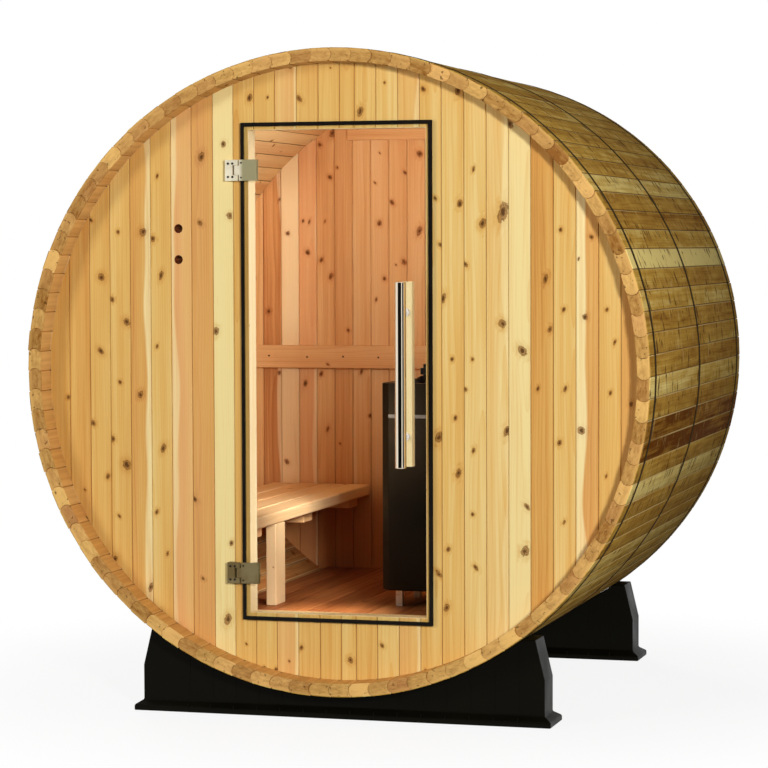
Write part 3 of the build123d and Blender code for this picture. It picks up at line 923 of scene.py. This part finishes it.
# Front boards from left to right: left edge, tone, redness, sapwood edge and knots. Lengths are in mm.
# A knot has its height, its place across the board and its size.
PLAIN = (0, 1, 0.0)
FRONT_BOARDS = (
    (-877, 0.66, 0.0, PLAIN, ((910, 26, 6),)),
    (-815, 0.64, 0.1, PLAIN, ((640, 12, 4),)),
    (
        -751, 0.52, 0.0, PLAIN,
        ((465, 4, 9), (680, 21, 7), (835, -24, 8), (1045, 2, 10), (1260, 5, 11), (1425, -26, 6)),
    ),
    (
        -688, 0.48, 0.0, PLAIN,
        (
            (440, -22, 8), (565, -8, 6), (715, 17, 14), (790, -26, 8),
            (955, -2, 6), (1130, 20, 11), (1195, -25, 8), (1390, -5, 6),
        ),
    ),
    (-625, 0.70, 0.25, (15, 1, 0.9), ((360, 25, 8), (920, -2, 9), (1390, 9, 11))),
    (
        -562, 0.46, 0.0, PLAIN,
        (
            (285, -9, 7), (460, 15, 5), (580, -18, 6), (765, 4, 9),
            (1060, -13, 5), (1265, 1, 8), (1370, -24, 9), (1550, -9, 5),
        ),
    ),
    (-499, 0.48, 0.9, (-19, -1, 0.7), ()),
    (-436, 0.70, 0.5, PLAIN, ((390, -4, 6), (620, -28, 9), (1415, -6, 8), (1605, -1, 10))),
    (-371, 0.04, 0.0, PLAIN, ((275, 8, 12), (495, 20, 7), (1105, -23, 10), (1435, 20, 9), (1640, 3, 8))),
    (-309, 0.50, 0.0, PLAIN, ((205, 1, 4), (1770, 20, 9))),
    (-246, 0.52, 0.0, PLAIN, ((135, 27, 5), (140, -7, 4), (1770, 11, 4))),
    (-183, 0.46, 0.6, (22, 1, 0.7), ((1860, 15, 10), (160, 4, 4))),
    (-119, 0.55, 0.1, PLAIN, ((200, -24, 6), (1765, -23, 9))),
    (-54, 0.54, 0.0, PLAIN, ((1850, 6, 3),)),
    (9, 0.48, 0.0, PLAIN, ((170, 5, 9),)),
    (53, 0.46, 0.0, PLAIN, ((1725, -14, 10),)),
    (116, 0.30, 0.0, PLAIN, ((215, -18, 7), (1805, -6, 4))),
    (180, 0.50, 0.35, (24, 1, 0.7), ()),
    (
        243, 0.46, 0.0, PLAIN,
        ((150, -17, 4), (425, 22, 10), (810, 23, 12), (1350, 28, 7), (1480, 14, 6), (1785, -20, 8)),
    ),
    (
        306, 0.44, 0.0, PLAIN,
        (
            (330, -19, 9), (495, -14, 7), (710, 16, 9), (865, 7, 6),
            (1030, -2, 6), (1200, -28, 9), (1465, 21, 9), (1780, 17, 10),
        ),
    ),
    (
        371, 0.32, 0.0, PLAIN,
        (
            (445, 1, 8), (595, -8, 6), (775, -5, 6), (945, -28, 6),
            (1030, -8, 5), (1295, -28, 8), (1410, 22, 11), (1560, -4, 5),
        ),
    ),
    (435, 0.30, 0.15, (20, 1, 0.6), ((830, 27, 10), (1130, 15, 12), (1440, 16, 17))),
    (499, 0.03, 0.1, PLAIN, ((495, 15, 13), (620, 21, 9), (1055, 8, 14), (1685, -27, 12))),
    (562, 0.74, 0.1, PLAIN, ((950, -11, 5), (1115, 23, 7), (1255, 11, 8))),
    (626, 0.40, 0.0, PLAIN, ((580, -1, 5), (800, -14, 7), (950, 2, 6), (1170, -2, 6), (1390, -11, 6))),
    (690, 0.66, 0.4, (-3, -1, 1.0), ((835, -16, 11), (1150, -6, 8), (1310, -24, 4), (1370, 12, 7))),
    (754, 0.44, 0.0, PLAIN, ((710, -10, 4), (940, 2, 5), (1080, 14, 5), (1170, -8, 5))),
    (817, 0.62, 0.2, PLAIN, ((910, -2, 7),)),
    (877, 0.5, 0.0, PLAIN, ()),
)

FRONT_JOINT = 0.0014
FRONT_CORNER = 0.0018
PORT_X = -0.476
PORT_RISES = (0.411, 0.322)
PORT_RADIUS = 0.013
DRILL_SPARE = 0.02

front_low, front_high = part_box("front_wall_right")
wall_front, wall_back = front_low.y, front_high.y
opening_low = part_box("front_wall_sill")[1].z
opening_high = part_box("front_wall_head")[0].z
opening_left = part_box("front_wall_head")[0].x
opening_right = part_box("front_wall_head")[1].x

front_model = make_board(wall_front, wall_back, FRONT_JOINT, FRONT_CORNER)


def bore_ports(board):
    """Drill the two round ports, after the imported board."""
    for rise in PORT_RISES:
        start = (PORT_X, wall_front - DRILL_SPARE, AXIS_Z + rise)
        end = (PORT_X, wall_back + DRILL_SPARE, AXIS_Z + rise)
        drill = rod("drill", start, end, PORT_RADIUS, 40)
        take(board)
        hole = board.modifiers.new("port", "BOOLEAN")
        hole.operation = "DIFFERENCE"
        hole.object = drill
        hole.solver = "EXACT"
        bpy.ops.object.modifier_apply(modifier=hole.name)
        bpy.data.objects.remove(drill)


def front_board(index, region):
    """One front board, sawn to the barrel and to the door opening."""
    left, tone, rose, sap, knots = FRONT_BOARDS[index]
    right = FRONT_BOARDS[index + 1][0]
    left, right = left * MM, right * MM
    board = cut_board(front_model, left, right, f"{region}_{index:02d}")
    if region in ("head", "sill"):
        if left < opening_left:
            saw(board, (opening_left, 0, 0), X, "inner")
        if right > opening_right:
            saw(board, (opening_right, 0, 0), X, "outer")
        if region == "head":
            saw(board, (0, 0, opening_high), Z, "inner")
        else:
            saw(board, (0, 0, opening_low), Z, "outer")
    elif left < opening_left < right:
        saw(board, (opening_left, 0, 0), X, "outer")
    elif left < opening_right < right:
        saw(board, (opening_right, 0, 0), X, "inner")
    trim_round(board, left, right)
    if region == "port_board":
        bore_ports(board)
    lay_grain(board, Z, X, FORWARD, ((left + right) / 2, wall_front, 0))
    sap, knots = in_metres(sap, knots)
    grade(board, tone, rose, sap, knots, seed=0.05 + 0.031 * index)
    return board


REGIONS = (
    ("left_outer", range(0, 6), "front_wall_left_outer"),
    ("port_board", range(6, 7), "front_wall_port_board"),
    ("left_inner", range(7, 10), "front_wall_left_inner"),
    ("head", range(9, 19), "front_wall_head"),
    ("sill", range(9, 19), "front_wall_sill"),
    ("right", range(18, 28), "front_wall_right"),
)
for region, indexes, node in REGIONS:
    boards = [front_board(index, region) for index in indexes]
    wall = joined(boards, f"front_boards_{region}")
    fit(wall, front_cedar, "barrel", "cedar_front", node)
bpy.data.objects.remove(front_model)


SLEEVE_RADIUS = 0.0129
SLEEVE_WALL = 0.0009
SLEEVE_SET_IN = 0.004
SLEEVE_REACH = 0.030


def make_sleeves():
    """A thin dark tube in each port, long enough to shade it: a dark stand-in for the shade inside the
    port.
    """
    tubes = []
    for rise in PORT_RISES:
        start = (PORT_X, wall_front + SLEEVE_SET_IN, AXIS_Z + rise)
        end = (PORT_X, wall_back + SLEEVE_REACH, AXIS_Z + rise)
        tube = rod("sleeve", start, end, SLEEVE_RADIUS, 40)
        choose(tube, "FACE", lambda c, n: abs(n.y) > 0.9)
        bpy.ops.mesh.inset(thickness=SLEEVE_WALL, depth=0)
        bpy.ops.mesh.bridge_edge_loops()
        done()
        set_outward(tube)
        tubes.append(tube)
    sleeves = joined(tubes, "port_sleeves")
    smooth(sleeves)
    fit(sleeves, port_shade_brown, "barrel", "cedar_front")


def make_reveal():
    """Thin boards that line the cut edges of the door opening."""
    thin = 0.0012
    rounded = 0.0004
    set_in = 0.0006
    front, back = wall_front + set_in, wall_back - WALL_GAP
    left, right, low, high = opening_left, opening_right, opening_low, opening_high
    lining = (
        ((left, front, low), (left + thin, back, high), Z, X, 0.16),
        ((right - thin, front, low), (right, back, high), Z, X, 0.3),
        ((left + thin, front, low), (right - thin, back, low + thin), X, Z, 0.35),
        ((left + thin, front, high - thin), (right - thin, back, high), X, Z, 0.3),
    )
    boards = []
    for start, end, along, depth, tone in lining:
        board = block("reveal", start, end)
        ease(board, rounded, 2)
        lay_grain(board, along, Y, depth, start)
        knots = some_knots(length=1.4, width=0.04, spacing=0.5, smallest=0.002, largest=0.004)
        grade(board, tone, knots=knots)
        boards.append(board)
    reveal = joined(boards, "opening_reveal")
    settle(reveal)
    fit(reveal, lining_cedar, "barrel", "cedar_lining")


make_sleeves()
make_reveal()

# Rear boards that show through the glass, by number from the left: tone, redness, sapwood edge and knots.
REAR_BOARDS = {
    2: (0.58, 0.2, PLAIN, ((1240, 4, 4), (800, -10, 5))),
    3: (0.84, 0.3, (25, 1, 0.8), ((1505, 28, 4), (1128, -12, 7), (920, 25, 7))),
    4: (0.06, 0.2, PLAIN, ((1391, -6, 8), (618, -13, 9))),
    5: (0.40, 0.9, (24, 1, 0.8), ((1432, -15, 5), (1429, 7, 5), (1326, 1, 9), (885, -9, 8))),
    6: (
        0.56, 0.2, PLAIN,
        (
            (1725, 26, 11), (1687, -18, 7), (1578, 17, 8), (1430, -1, 4),
            (1301, -14, 7), (1246, 19, 8), (918, -16, 7), (731, 6, 6),
        ),
    ),
    7: (0.62, 0.25, PLAIN, ((1065, 16, 6), (683, -14, 4), (1610, -20, 4))),
    8: (0.48, 0.2, (-25, -1, 0.6), ((927, -1, 6), (779, 29, 7))),
    9: (
        0.34, 0.3, PLAIN,
        ((1657, 2, 4), (1558, -15, 5), (1423, 0, 9), (1238, 17, 7), (1168, -12, 5), (943, -5, 5)),
    ),
    10: (0.48, 0.2, PLAIN, ((1591, 25, 7), (1492, -19, 9), (1294, 22, 9), (1284, -6, 4))),
    11: (0.46, 0.3, PLAIN, ((1653, 13, 11), (1397, 12, 11), (1010, -8, 6))),
    12: (0.62, 0.3, PLAIN, ((1530, 10, 5), (1180, -14, 7))),
}
REAR_COUNT = 28
REAR_LEFT, REAR_RIGHT = -0.877, 0.878
REAR_JOINT = 0.0012
REAR_CORNER = 0.0030


def make_rear_wall():
    """The boards of the rear wall, sawn to the barrel."""
    low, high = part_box("back_wall")
    model = make_board(low.y, high.y, REAR_JOINT, REAR_CORNER)
    boards = []
    for number in range(REAR_COUNT):
        left = REAR_LEFT + number * BOARD
        right = REAR_RIGHT if number == REAR_COUNT - 1 else left + BOARD
        board = cut_board(model, left, right, "rear_board")
        trim_round(board, left, right)
        lay_grain(board, Z, X, FORWARD, ((left + right) / 2, low.y, 0))
        if number in REAR_BOARDS:
            tone, rose, sap, knots = REAR_BOARDS[number]
            sap, knots = in_metres(sap, knots)
        else:
            tone = min(0.85, max(0.08, chance.gauss(0.46, 0.2)))
            rose = max(0, chance.gauss(0.2, 0.25))
            sap = (chance.uniform(-0.01, 0.01), chance.choice((-1, 1)), chance.choice((0, 0, 0.7)))
            knots = some_knots(1.9, BOARD, spacing=0.27, smallest=0.004, largest=0.010)
        grade(board, tone, rose, sap, knots)
        boards.append(board)
    wall = joined(boards, "rear_boards")
    fit(wall, rear_cedar, "barrel", "cedar_inside", "back_wall")
    bpy.data.objects.remove(model)


make_rear_wall()


# Joinery


ROOM_WOOD = (inside_cedar, "cedar_inside")
LINING_WOOD = (lining_cedar, "cedar_lining")


def timber(node, name, along, across, depth, wood, round_over, tones, rose=0.1, knot_gap=0.4):
    """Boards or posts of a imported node, each with eased edges and its own grain."""
    finish, slot = wood
    pieces = parts_of(node, name)
    for number, piece in enumerate(pieces):
        ease(piece, round_over, 3)
        low = Vector(piece.bound_box[0])
        high = Vector(piece.bound_box[6])
        middle = [(low[i] + high[i]) / 2 for i in range(3)]
        for i in range(3):
            if abs(along[i]) > 0.5:
                middle[i] = low[i]
        lay_grain(piece, along, across, depth, middle)
        length = (high - low).dot(Vector(along))
        width = abs((high - low).dot(Vector(across)))
        knots = some_knots(length, width, knot_gap, smallest=0.002, largest=0.007)
        grade(piece, tones[number % len(tones)], rose, knots=knots)
    piece = joined(pieces, name)
    settle(piece)
    fit(piece, finish, "barrel", slot, node)


timber("jamb_posts", "lining_posts", Z, X, Y, LINING_WOOD, 0.0018, (0.12, 0.3), 0.0, 0.6)
timber("jamb_rails", "lining_rails", X, Z, Y, LINING_WOOD, 0.0018, (0.3, 0.25), 0.0, 0.6)
timber("back_batten_middle", "middle_batten", X, Z, Y, ROOM_WOOD, 0.0025, (0.40,), 0.35)
timber("back_batten_top", "top_batten", X, Z, Y, ROOM_WOOD, 0.0025, (0.6,), 0.3)
timber("bench_slats", "bench_boards", Y, X, Z, ROOM_WOOD, 0.006, (0.28, 0.34, 0.2, 0.02))
timber("bench_cleats", "bench_bearers", X, Y, Z, ROOM_WOOD, 0.003, (0.25, 0.35, 0.3))
timber("bench_leg", "bench_post", Z, X, Y, ROOM_WOOD, 0.003, (0.04,))


def make_floor():
    """Floor boards laid along the barrel with narrow gaps."""
    low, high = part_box("floor_deck")
    count = 10
    half_gap = 0.0012
    rounded = 0.0022
    pitch = (high.x - low.x) / count
    start = (-pitch / 2 + half_gap, low.y, low.z)
    model = block("floor_board", start, (pitch / 2 - half_gap, high.y, high.z))
    ease(model, rounded, 2)
    boards = []
    for number in range(count):
        board = copied(model, f"floor_board_{number}")
        middle = low.x + (number + 0.5) * pitch
        board.location.x = middle
        take(board)
        bpy.ops.object.transform_apply(location=True, rotation=True, scale=True)
        lay_grain(board, Y, X, Z, (middle, low.y, high.z))
        tone = min(0.95, max(0.5, chance.gauss(0.76, 0.11)))
        knots = some_knots(1.36, pitch, spacing=0.3, smallest=0.003, largest=0.009)
        grade(board, tone, rose=0.2, knots=knots)
        boards.append(board)
    bpy.data.objects.remove(model)
    floor = joined(boards, "floor_boards")
    settle(floor)
    fit(floor, floor_cedar, "barrel", "cedar_inside", "floor_deck")


make_floor()


def make_screw(radius):
    """One dished screw head, facing -Y at the origin."""
    half = 0.0008
    dish = 0.0006
    screw = rod("screw", (0, half, 0), (0, -half, 0), radius, 16)
    choose(screw, "FACE", lambda c, n: n.y < -0.9)
    bpy.ops.mesh.inset(thickness=radius * 0.35, depth=0)
    bpy.ops.mesh.extrude_region_move(TRANSFORM_OT_translate={"value": (0, dish, 0)})
    bpy.ops.transform.resize(value=(0.6, 1, 0.6))
    done()

    def on_rim(a, b):
        out = min(math.hypot(a.x, a.z), math.hypot(b.x, b.z))
        return max(a.y, b.y) < -0.0007 and out > radius * 0.9

    bevel_edges(screw, on_rim, radius * 0.12)
    return screw


def screws_at(name, places, radius, finish, body, slot):
    """Screw heads copied to their places."""
    model = make_screw(radius)
    heads = []
    for place in places:
        head = copied(model, name)
        head.location = place
        heads.append(head)
    bpy.data.objects.remove(model)
    piece = joined(heads, name)
    smooth(piece)
    fit(piece, finish, body, slot)


def screw_battens():
    """A row of screws along each batten, unevenly spaced."""
    edge = 0.03
    proud = 0.0002
    radius = 0.0032
    places = []
    for node, first in (("back_batten_middle", -0.660), ("back_batten_top", -0.345)):
        low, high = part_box(node)
        spot = first
        while spot < high.x - edge:
            height = (low.z + high.z) / 2 + chance.uniform(-0.003, 0.003)
            places.append((spot, low.y - proud, height))
            spot += chance.uniform(0.117, 0.137)
    screws_at("batten_screws", places, radius, catch_black, "barrel", "catch_black")


screw_battens()


# Door


LEAF_SCREW_X = (-0.3165, -0.3035)
LEAF_SCREW_RISE = 0.019
LEAF_SCREW_RADIUS = 0.0034
CLAMP_SCREW_X = -0.2775
CLAMP_SCREW_RISE = 0.021
CLAMP_SCREW_RADIUS = 0.0026
SCREW_PROUD = 0.0004


def moulded(node, name, finish, body, slot, round_over, segments=2):
    """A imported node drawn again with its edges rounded."""
    piece = drawn_from(node, name)
    ease(piece, round_over, segments)
    settle(piece, 40)
    fit(piece, finish, body, slot, node)


def make_hinge(level):
    """One hinge: a leaf on the wall, a leaf on the glass, and their screws."""
    moulded(f"{level}_hinge_plate", f"{level}_wall_leaf", satin_hinge, "barrel", "satin_hinge", 0.0008)
    moulded(f"{level}_hinge_clamp", f"{level}_glass_leaf", satin_hinge, "door", "satin_hinge", 0.0010)
    low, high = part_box(f"{level}_hinge_plate")
    height = (low.z + high.z) / 2
    face = low.y - SCREW_PROUD
    rises = (-LEAF_SCREW_RISE, LEAF_SCREW_RISE)
    places = [(x, face, height + rise) for x in LEAF_SCREW_X for rise in rises]
    screws_at(f"{level}_leaf_screws", places, LEAF_SCREW_RADIUS, catch_black, "barrel", "satin_hinge")
    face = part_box(f"{level}_hinge_clamp")[0].y - SCREW_PROUD
    places = [(CLAMP_SCREW_X, face, height + rise) for rise in (-CLAMP_SCREW_RISE, CLAMP_SCREW_RISE)]
    screws_at(f"{level}_clamp_screws", places, CLAMP_SCREW_RADIUS, catch_black, "door", "satin_hinge")


moulded("door_seal", "seal_strip", black_seal, "door", "black_seal", 0.0016)
make_hinge("upper")
make_hinge("lower")
moulded("door_catch", "roller_catch", catch_black, "barrel", "catch_black", 0.0008)


def make_pull():
    """The polished bar with its two posts and the round feet on the glass."""
    post_rise = 0.175
    post_radius = 0.008
    post_start = 0.006
    foot_radius = 0.0125
    foot_thick = 0.004
    low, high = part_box("outer_handle")
    radius = (high.x - low.x) / 2
    x, y = (low.x + high.x) / 2, low.y + radius
    bar = rod("pull_bar", (x, y, low.z), (x, y, high.z), radius, 64)

    def on_bar_end(a, b):
        return abs(a.z - b.z) < 1e-6 and (a.z < low.z + TOUCH or a.z > high.z - TOUCH)

    def on_foot_front(a, b):
        return max(a.y, b.y) < high.y - 0.003 and abs(a.y - b.y) < 1e-6

    bevel_edges(bar, on_bar_end, 0.0022, 3)
    smooth(bar, 40)
    fit(bar, polished_bar, "door", "polished_bar", "outer_handle")
    parts = []
    middle = (low.z + high.z) / 2
    for side in (-1, 1):
        height = middle + side * post_rise
        post = rod("pull_post", (x, y + post_start, height), (x, high.y, height), post_radius, 40)
        foot = rod("pull_foot", (x, high.y - foot_thick, height), (x, high.y, height), foot_radius, 40)
        bevel_edges(foot, on_foot_front, 0.0014, 3)
        parts += [post, foot]
    posts = joined(parts, "pull_posts")
    smooth(posts, 40)
    # The posts and feet are pale painted reflection rather than chrome.
    fit(posts, painted_post_reflection, "door", "polished_bar")


def make_grip():
    """The wooden bar inside."""
    grip = drawn_from("inner_handle", "wooden_grip")
    low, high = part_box("inner_handle")
    lay_grain(grip, Z, X, Y, ((low.x + high.x) / 2, (low.y + high.y) / 2, low.z))
    grade(grip, 0.3, 0.0, knots=[])
    smooth(grip)
    fit(grip, grip_cedar, "door", "handle_wood", "inner_handle")


make_pull()
# The spacers share the pale painted reflection of the posts.
moulded("inner_handle_spacers", "grip_spacers", painted_post_reflection, "door", "polished_bar", 0.0012, 3)
make_grip()

for node, finish in (
    ("door_glass", door_glass),
    ("band_front", band_steel),
    ("band_middle", band_steel),
    ("band_rear", band_steel),
):
    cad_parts[node].data.materials.clear()
    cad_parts[node].data.materials.append(finish)


# Heater


TRAY_RIM = 0.034
TRAY_DEPTH = 0.045
STONE_SHAPES = 3
STONE_ROWS = 4
STONE_COLUMNS = 5
STONE_RISE = 0.018
STONE_START = (0.075, 0.072)
STONE_PITCH = (0.0625, 0.052)


def make_case():
    """The heater's case with an open tray on top."""
    case = drawn_from("heater_body", "heater_case")
    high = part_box("heater_body")[1]
    choose(case, "FACE", lambda c, n: n.z > 0.9 and c.z > high.z - 1e-4)
    bpy.ops.mesh.inset(thickness=TRAY_RIM, depth=0)
    bpy.ops.mesh.extrude_region_move(TRANSFORM_OT_translate={"value": (0, 0, -TRAY_DEPTH)})
    done()
    ease(case, 0.0025, 2)
    settle(case, 40)
    fit(case, heater_black, "barrel", "heater_black", "heater_body")


def make_stone(number):
    """One rough stone for the heap to be copied from."""
    let_go()
    bpy.ops.mesh.primitive_ico_sphere_add(subdivisions=2, radius=0.03)
    stone = bpy.context.object
    open_whole(stone)
    bpy.ops.transform.vertex_random(offset=0.012, uniform=0.3, normal=0.6, seed=number + 3)
    bpy.ops.transform.resize(value=(1.2 - 0.15 * number, 0.95, 0.72 + 0.1 * number))
    done()
    soften = stone.modifiers.new("wear_and_rim_highlight", "SUBSURF")
    soften.levels = soften.render_levels = 1
    bpy.ops.object.modifier_apply(modifier=soften.name)
    return stone


def heap_stones():
    """Stones in the tray, higher in the middle rows."""
    low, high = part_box("heater_body")
    shapes = [make_stone(number) for number in range(STONE_SHAPES)]
    stones = []
    for row in range(STONE_ROWS):
        for column in range(STONE_COLUMNS):
            stone = copied(shapes[chance.randrange(STONE_SHAPES)], "stone")
            raised = STONE_RISE if column > 0 and 0 < row < 3 else 0.0
            stone.location = (
                low.x + STONE_START[0] + column * STONE_PITCH[0] + chance.uniform(-0.008, 0.008),
                low.y + STONE_START[1] + row * STONE_PITCH[1] + chance.uniform(-0.006, 0.006),
                high.z - STONE_RISE + raised + chance.uniform(-0.004, 0.008),
            )
            stone.rotation_euler = [chance.uniform(0, math.tau) for _ in range(3)]
            stones.append(stone)
    for shape in shapes:
        bpy.data.objects.remove(shape)
    heap = joined(stones, "heater_stones")
    smooth(heap, 60)
    fit(heap, heater_stone, "barrel", "heater_black")


make_case()
heap_stones()
moulded("heater_trim", "heater_trim_strip", strip_steel, "barrel", "heater_metal", 0.0004, 1)
moulded("heater_feet", "heater_legs", heater_metal, "barrel", "heater_metal", 0.0012)


# Cradles


CRADLE_ROUND = 0.003
FLANGE = 0.022
RIB_PITCH = 0.070
RIB_FOOT = 0.048
RIB_LEAST_TOP = 0.075
RIB_REACH = 0.53
RIB_HALF = 0.0016
RIB_PROUD = 0.0009
RIB_BELOW_BARREL = 0.006
RIB_BELOW_TOP = 0.01
TICK_FOOT, TICK_TOP = 0.005, 0.026
TICK_HALF = 0.0014
TICK_PROUD = 0.0007
SUNK = 0.001


def strip_on(name, face, side, across, half, proud, foot, top, rounded):
    """A thin upright strip, sunk a little into a cradle's face."""
    ends = sorted((face - side * SUNK, face + side * proud))
    strip = block(name, (across - half, ends[0], foot), (across + half, ends[1], top))
    ease(strip, rounded, 1)
    return strip


def make_cradle(node, name):
    """A moulded cradle with rounded edges, thin ribs on both faces and ticks along its flange."""
    body = drawn_from(node, name)
    ease(body, CRADLE_ROUND, 2, 35)
    low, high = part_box(node)
    parts = [body]
    for face, side in ((low.y + FLANGE, -1), (high.y - FLANGE, 1)):
        for number in range(-7, 8):
            across = number * RIB_PITCH + RIB_PITCH / 2
            if abs(across) > RIB_REACH:
                continue
            reach = OUTER * OUTER - across * across
            top = min(AXIS_Z - math.sqrt(reach) - RIB_BELOW_BARREL, high.z - RIB_BELOW_TOP)
            if top > RIB_LEAST_TOP:
                rib = strip_on("rib", face, side, across, RIB_HALF, RIB_PROUD, RIB_FOOT, top, 0.0006)
                parts.append(rib)
            edge = face + side * FLANGE
            tick = strip_on("tick", edge, side, across, TICK_HALF, TICK_PROUD, TICK_FOOT, TICK_TOP, 0.0005)
            parts.append(tick)
    cradle = joined(parts, name)
    settle(cradle, 40)
    fit(cradle, cradle_black, "barrel", "cradle_black", node)


make_cradle("front_cradle", "front_support")
make_cradle("rear_cradle", "rear_support")


# Camera, lamps and floor


CAMERA_PLACE = (2.287, -8.220, 1.348)
CAMERA_TURN, CAMERA_TILT, CAMERA_ROLL = math.radians(15.99), math.radians(-2.86), math.radians(-0.19)
PICTURE_WIDTH = 768
FOCAL_PIXELS = 2767.8
SENSOR = 36


def set_camera():
    """The photograph's viewpoint: place, turn, tilt and lens."""
    turn, tilt, roll = CAMERA_TURN, CAMERA_TILT, CAMERA_ROLL
    right = Vector((math.cos(turn), math.sin(turn), 0))
    ahead = Vector((-math.sin(turn) * math.cos(tilt), math.cos(turn) * math.cos(tilt), math.sin(tilt)))
    up = right.cross(ahead)
    side = math.cos(roll) * right + math.sin(roll) * up
    over = -math.sin(roll) * right + math.cos(roll) * up
    data = bpy.data.cameras.new("viewpoint")
    data.sensor_width = SENSOR
    data.lens = SENSOR * FOCAL_PIXELS / PICTURE_WIDTH
    camera = bpy.data.objects.new("viewpoint", data)
    bpy.context.scene.collection.objects.link(camera)
    axes = Matrix((side, over, -ahead)).transposed().to_4x4()
    camera.matrix_world = Matrix.Translation(CAMERA_PLACE) @ axes
    bpy.context.scene.camera = camera


def add_lamp(name, place, target, size, power, colour=(1, 1, 1), spread=180):
    """A square soft lamp aimed at a point, which lights the part and isn't seen itself."""
    data = bpy.data.lights.new(name, "AREA")
    data.shape = "SQUARE"
    data.size = size
    data.spread = math.radians(spread)
    data.energy = power
    data.color = colour
    lamp = bpy.data.objects.new(name, data)
    bpy.context.scene.collection.objects.link(lamp)
    aim = Vector(target) - Vector(place)
    lamp.matrix_world = Matrix.Translation(place) @ aim.to_track_quat("-Z", "Y").to_matrix().to_4x4()
    lamp.visible_camera = False
    lamp.visible_glossy = False
    lamp.visible_transmission = False
    return lamp


def add_card(name, left, right, height):
    """A dark upright card that shows only in reflections and through glass."""
    let_go()
    left, right = Vector(left), Vector(right)
    run = right - left
    bpy.ops.mesh.primitive_plane_add(
        size=1,
        location=(left + right) / 2,
        rotation=(math.pi / 2, 0, math.atan2(run.y, run.x)),
    )
    card = bpy.context.object
    card.scale = (run.length, height, 1)
    card.name = name
    felt = Finish(name)
    cloud = felt.noise(felt.place(), 6.0, 2.0)
    colour = felt.blend(cloud, (0.012, 0.011, 0.010, 1), (0.025, 0.023, 0.02, 1))
    felt.close(colour, felt.step(cloud, 0.3, 0.7, 0.8, 1.0), Specular_IOR_Level=0.0)
    card.data.materials.append(felt.material)
    card.visible_camera = False
    card.visible_shadow = False
    card.visible_diffuse = False


def set_world():
    """White behind the object, and a softer level of the same light on it."""
    world = bpy.data.worlds.new("studio")
    bpy.context.scene.world = world
    world.use_nodes = True
    tree = world.node_tree
    tree.nodes.clear()
    seen = tree.nodes.new("ShaderNodeBackground")
    seen.inputs["Strength"].default_value = 1.0
    light = tree.nodes.new("ShaderNodeBackground")
    light.inputs["Strength"].default_value = 0.195
    for part in (seen, light):
        part.inputs["Color"].default_value = (1, 1, 1, 1)
    path = tree.nodes.new("ShaderNodeLightPath")
    first = tree.nodes.new("ShaderNodeMath")
    first.operation = "MAXIMUM"
    second = tree.nodes.new("ShaderNodeMath")
    second.operation = "MAXIMUM"
    tree.links.new(path.outputs["Is Camera Ray"], first.inputs[0])
    tree.links.new(path.outputs["Is Glossy Ray"], first.inputs[1])
    tree.links.new(first.outputs[0], second.inputs[0])
    tree.links.new(path.outputs["Is Transmission Ray"], second.inputs[1])
    both = tree.nodes.new("ShaderNodeMixShader")
    tree.links.new(second.outputs[0], both.inputs[0])
    tree.links.new(light.outputs[0], both.inputs[1])
    tree.links.new(seen.outputs[0], both.inputs[2])
    out = tree.nodes.new("ShaderNodeOutputWorld")
    tree.links.new(both.outputs[0], out.inputs["Surface"])


def set_floor():
    """A pale round floor that keeps the shadow and fades to the white behind."""
    let_go()
    bpy.ops.mesh.primitive_circle_add(vertices=96, radius=9.0, fill_type="NGON", location=(0, 0, -0.0005))
    floor = bpy.context.object
    floor.name = "studio_floor"
    paper = Finish("studio_floor")
    far = paper.vector("LENGTH", paper.place())
    dust = paper.noise(paper.place(), 40.0, 2.0)
    colour = paper.blend(paper.step(dust, 0.3, 0.7), (0.93, 0.93, 0.925, 1), (0.95, 0.95, 0.945, 1))
    path = paper.add("ShaderNodeLightPath")
    colour = paper.blend(path.outputs["Is Diffuse Ray"], colour, (0.22, 0.22, 0.22, 1))
    matt = paper.add("ShaderNodeBsdfDiffuse", {"Color": colour})
    white = paper.add("ShaderNodeEmission", {"Color": (1, 1, 1, 1), "Strength": 1.0})
    seen = paper.sum("MAXIMUM", path.outputs["Is Camera Ray"], path.outputs["Is Glossy Ray"])
    seen = paper.sum("MAXIMUM", seen, path.outputs["Is Transmission Ray"])
    share = paper.sum("MULTIPLY", paper.step(far, 0.9, 2.0, 0.88, 1.0), seen)
    both = paper.add("ShaderNodeMixShader", {0: share})
    paper.plug(both.inputs[1], matt.outputs[0])
    paper.plug(both.inputs[2], white.outputs[0])
    paper.plug(paper.out.inputs["Surface"], both.outputs[0])
    floor.data.materials.append(paper.material)


set_camera()
set_world()
set_floor()
add_lamp("key", (3.4, -6.4, 2.1), (0, -0.7, 1.0), size=0.65, power=298)
add_lamp("left_fill", (-4.4, -6.4, 2.6), (0, 0, 0.95), size=2.0, power=176)
add_lamp("back_fill", (-3.4, 6.4, 3.4), (0, 0, 0.95), size=2.0, power=230)
add_lamp("room_up", (0.05, -0.42, 1.25), (-0.22, 0.46, 1.76), 0.35, 5.0, (1.0, 0.98, 0.96), spread=130)
add_lamp("bench_light", (0.22, -0.56, 0.96), (-0.38, -0.02, 0.54), 0.20, 1.3, (1.0, 0.97, 0.92), spread=58)
add_lamp("floor_light", (0.04, -0.62, 0.98), (-0.14, -0.46, 0.27), 0.10, 0.85, (1.0, 0.98, 0.90), spread=36)
strip = add_lamp(
    "jamb_light", (0.10, -0.69, 1.0), (-0.26, -0.69, 1.0), 0.03, 0.47, (1.0, 0.98, 0.95), spread=50
)
strip.data.shape = "RECTANGLE"
strip.data.size_y = 1.3
add_card("card_front", (-1.16, -2.4, 0.95), (1.25, -2.4, 0.95), 2.1)
add_card("card_right", (2.0, -2.2, 0.95), (2.0, -1.03, 0.95), 2.1)
bpy.context.scene.view_settings.view_transform = "Standard"
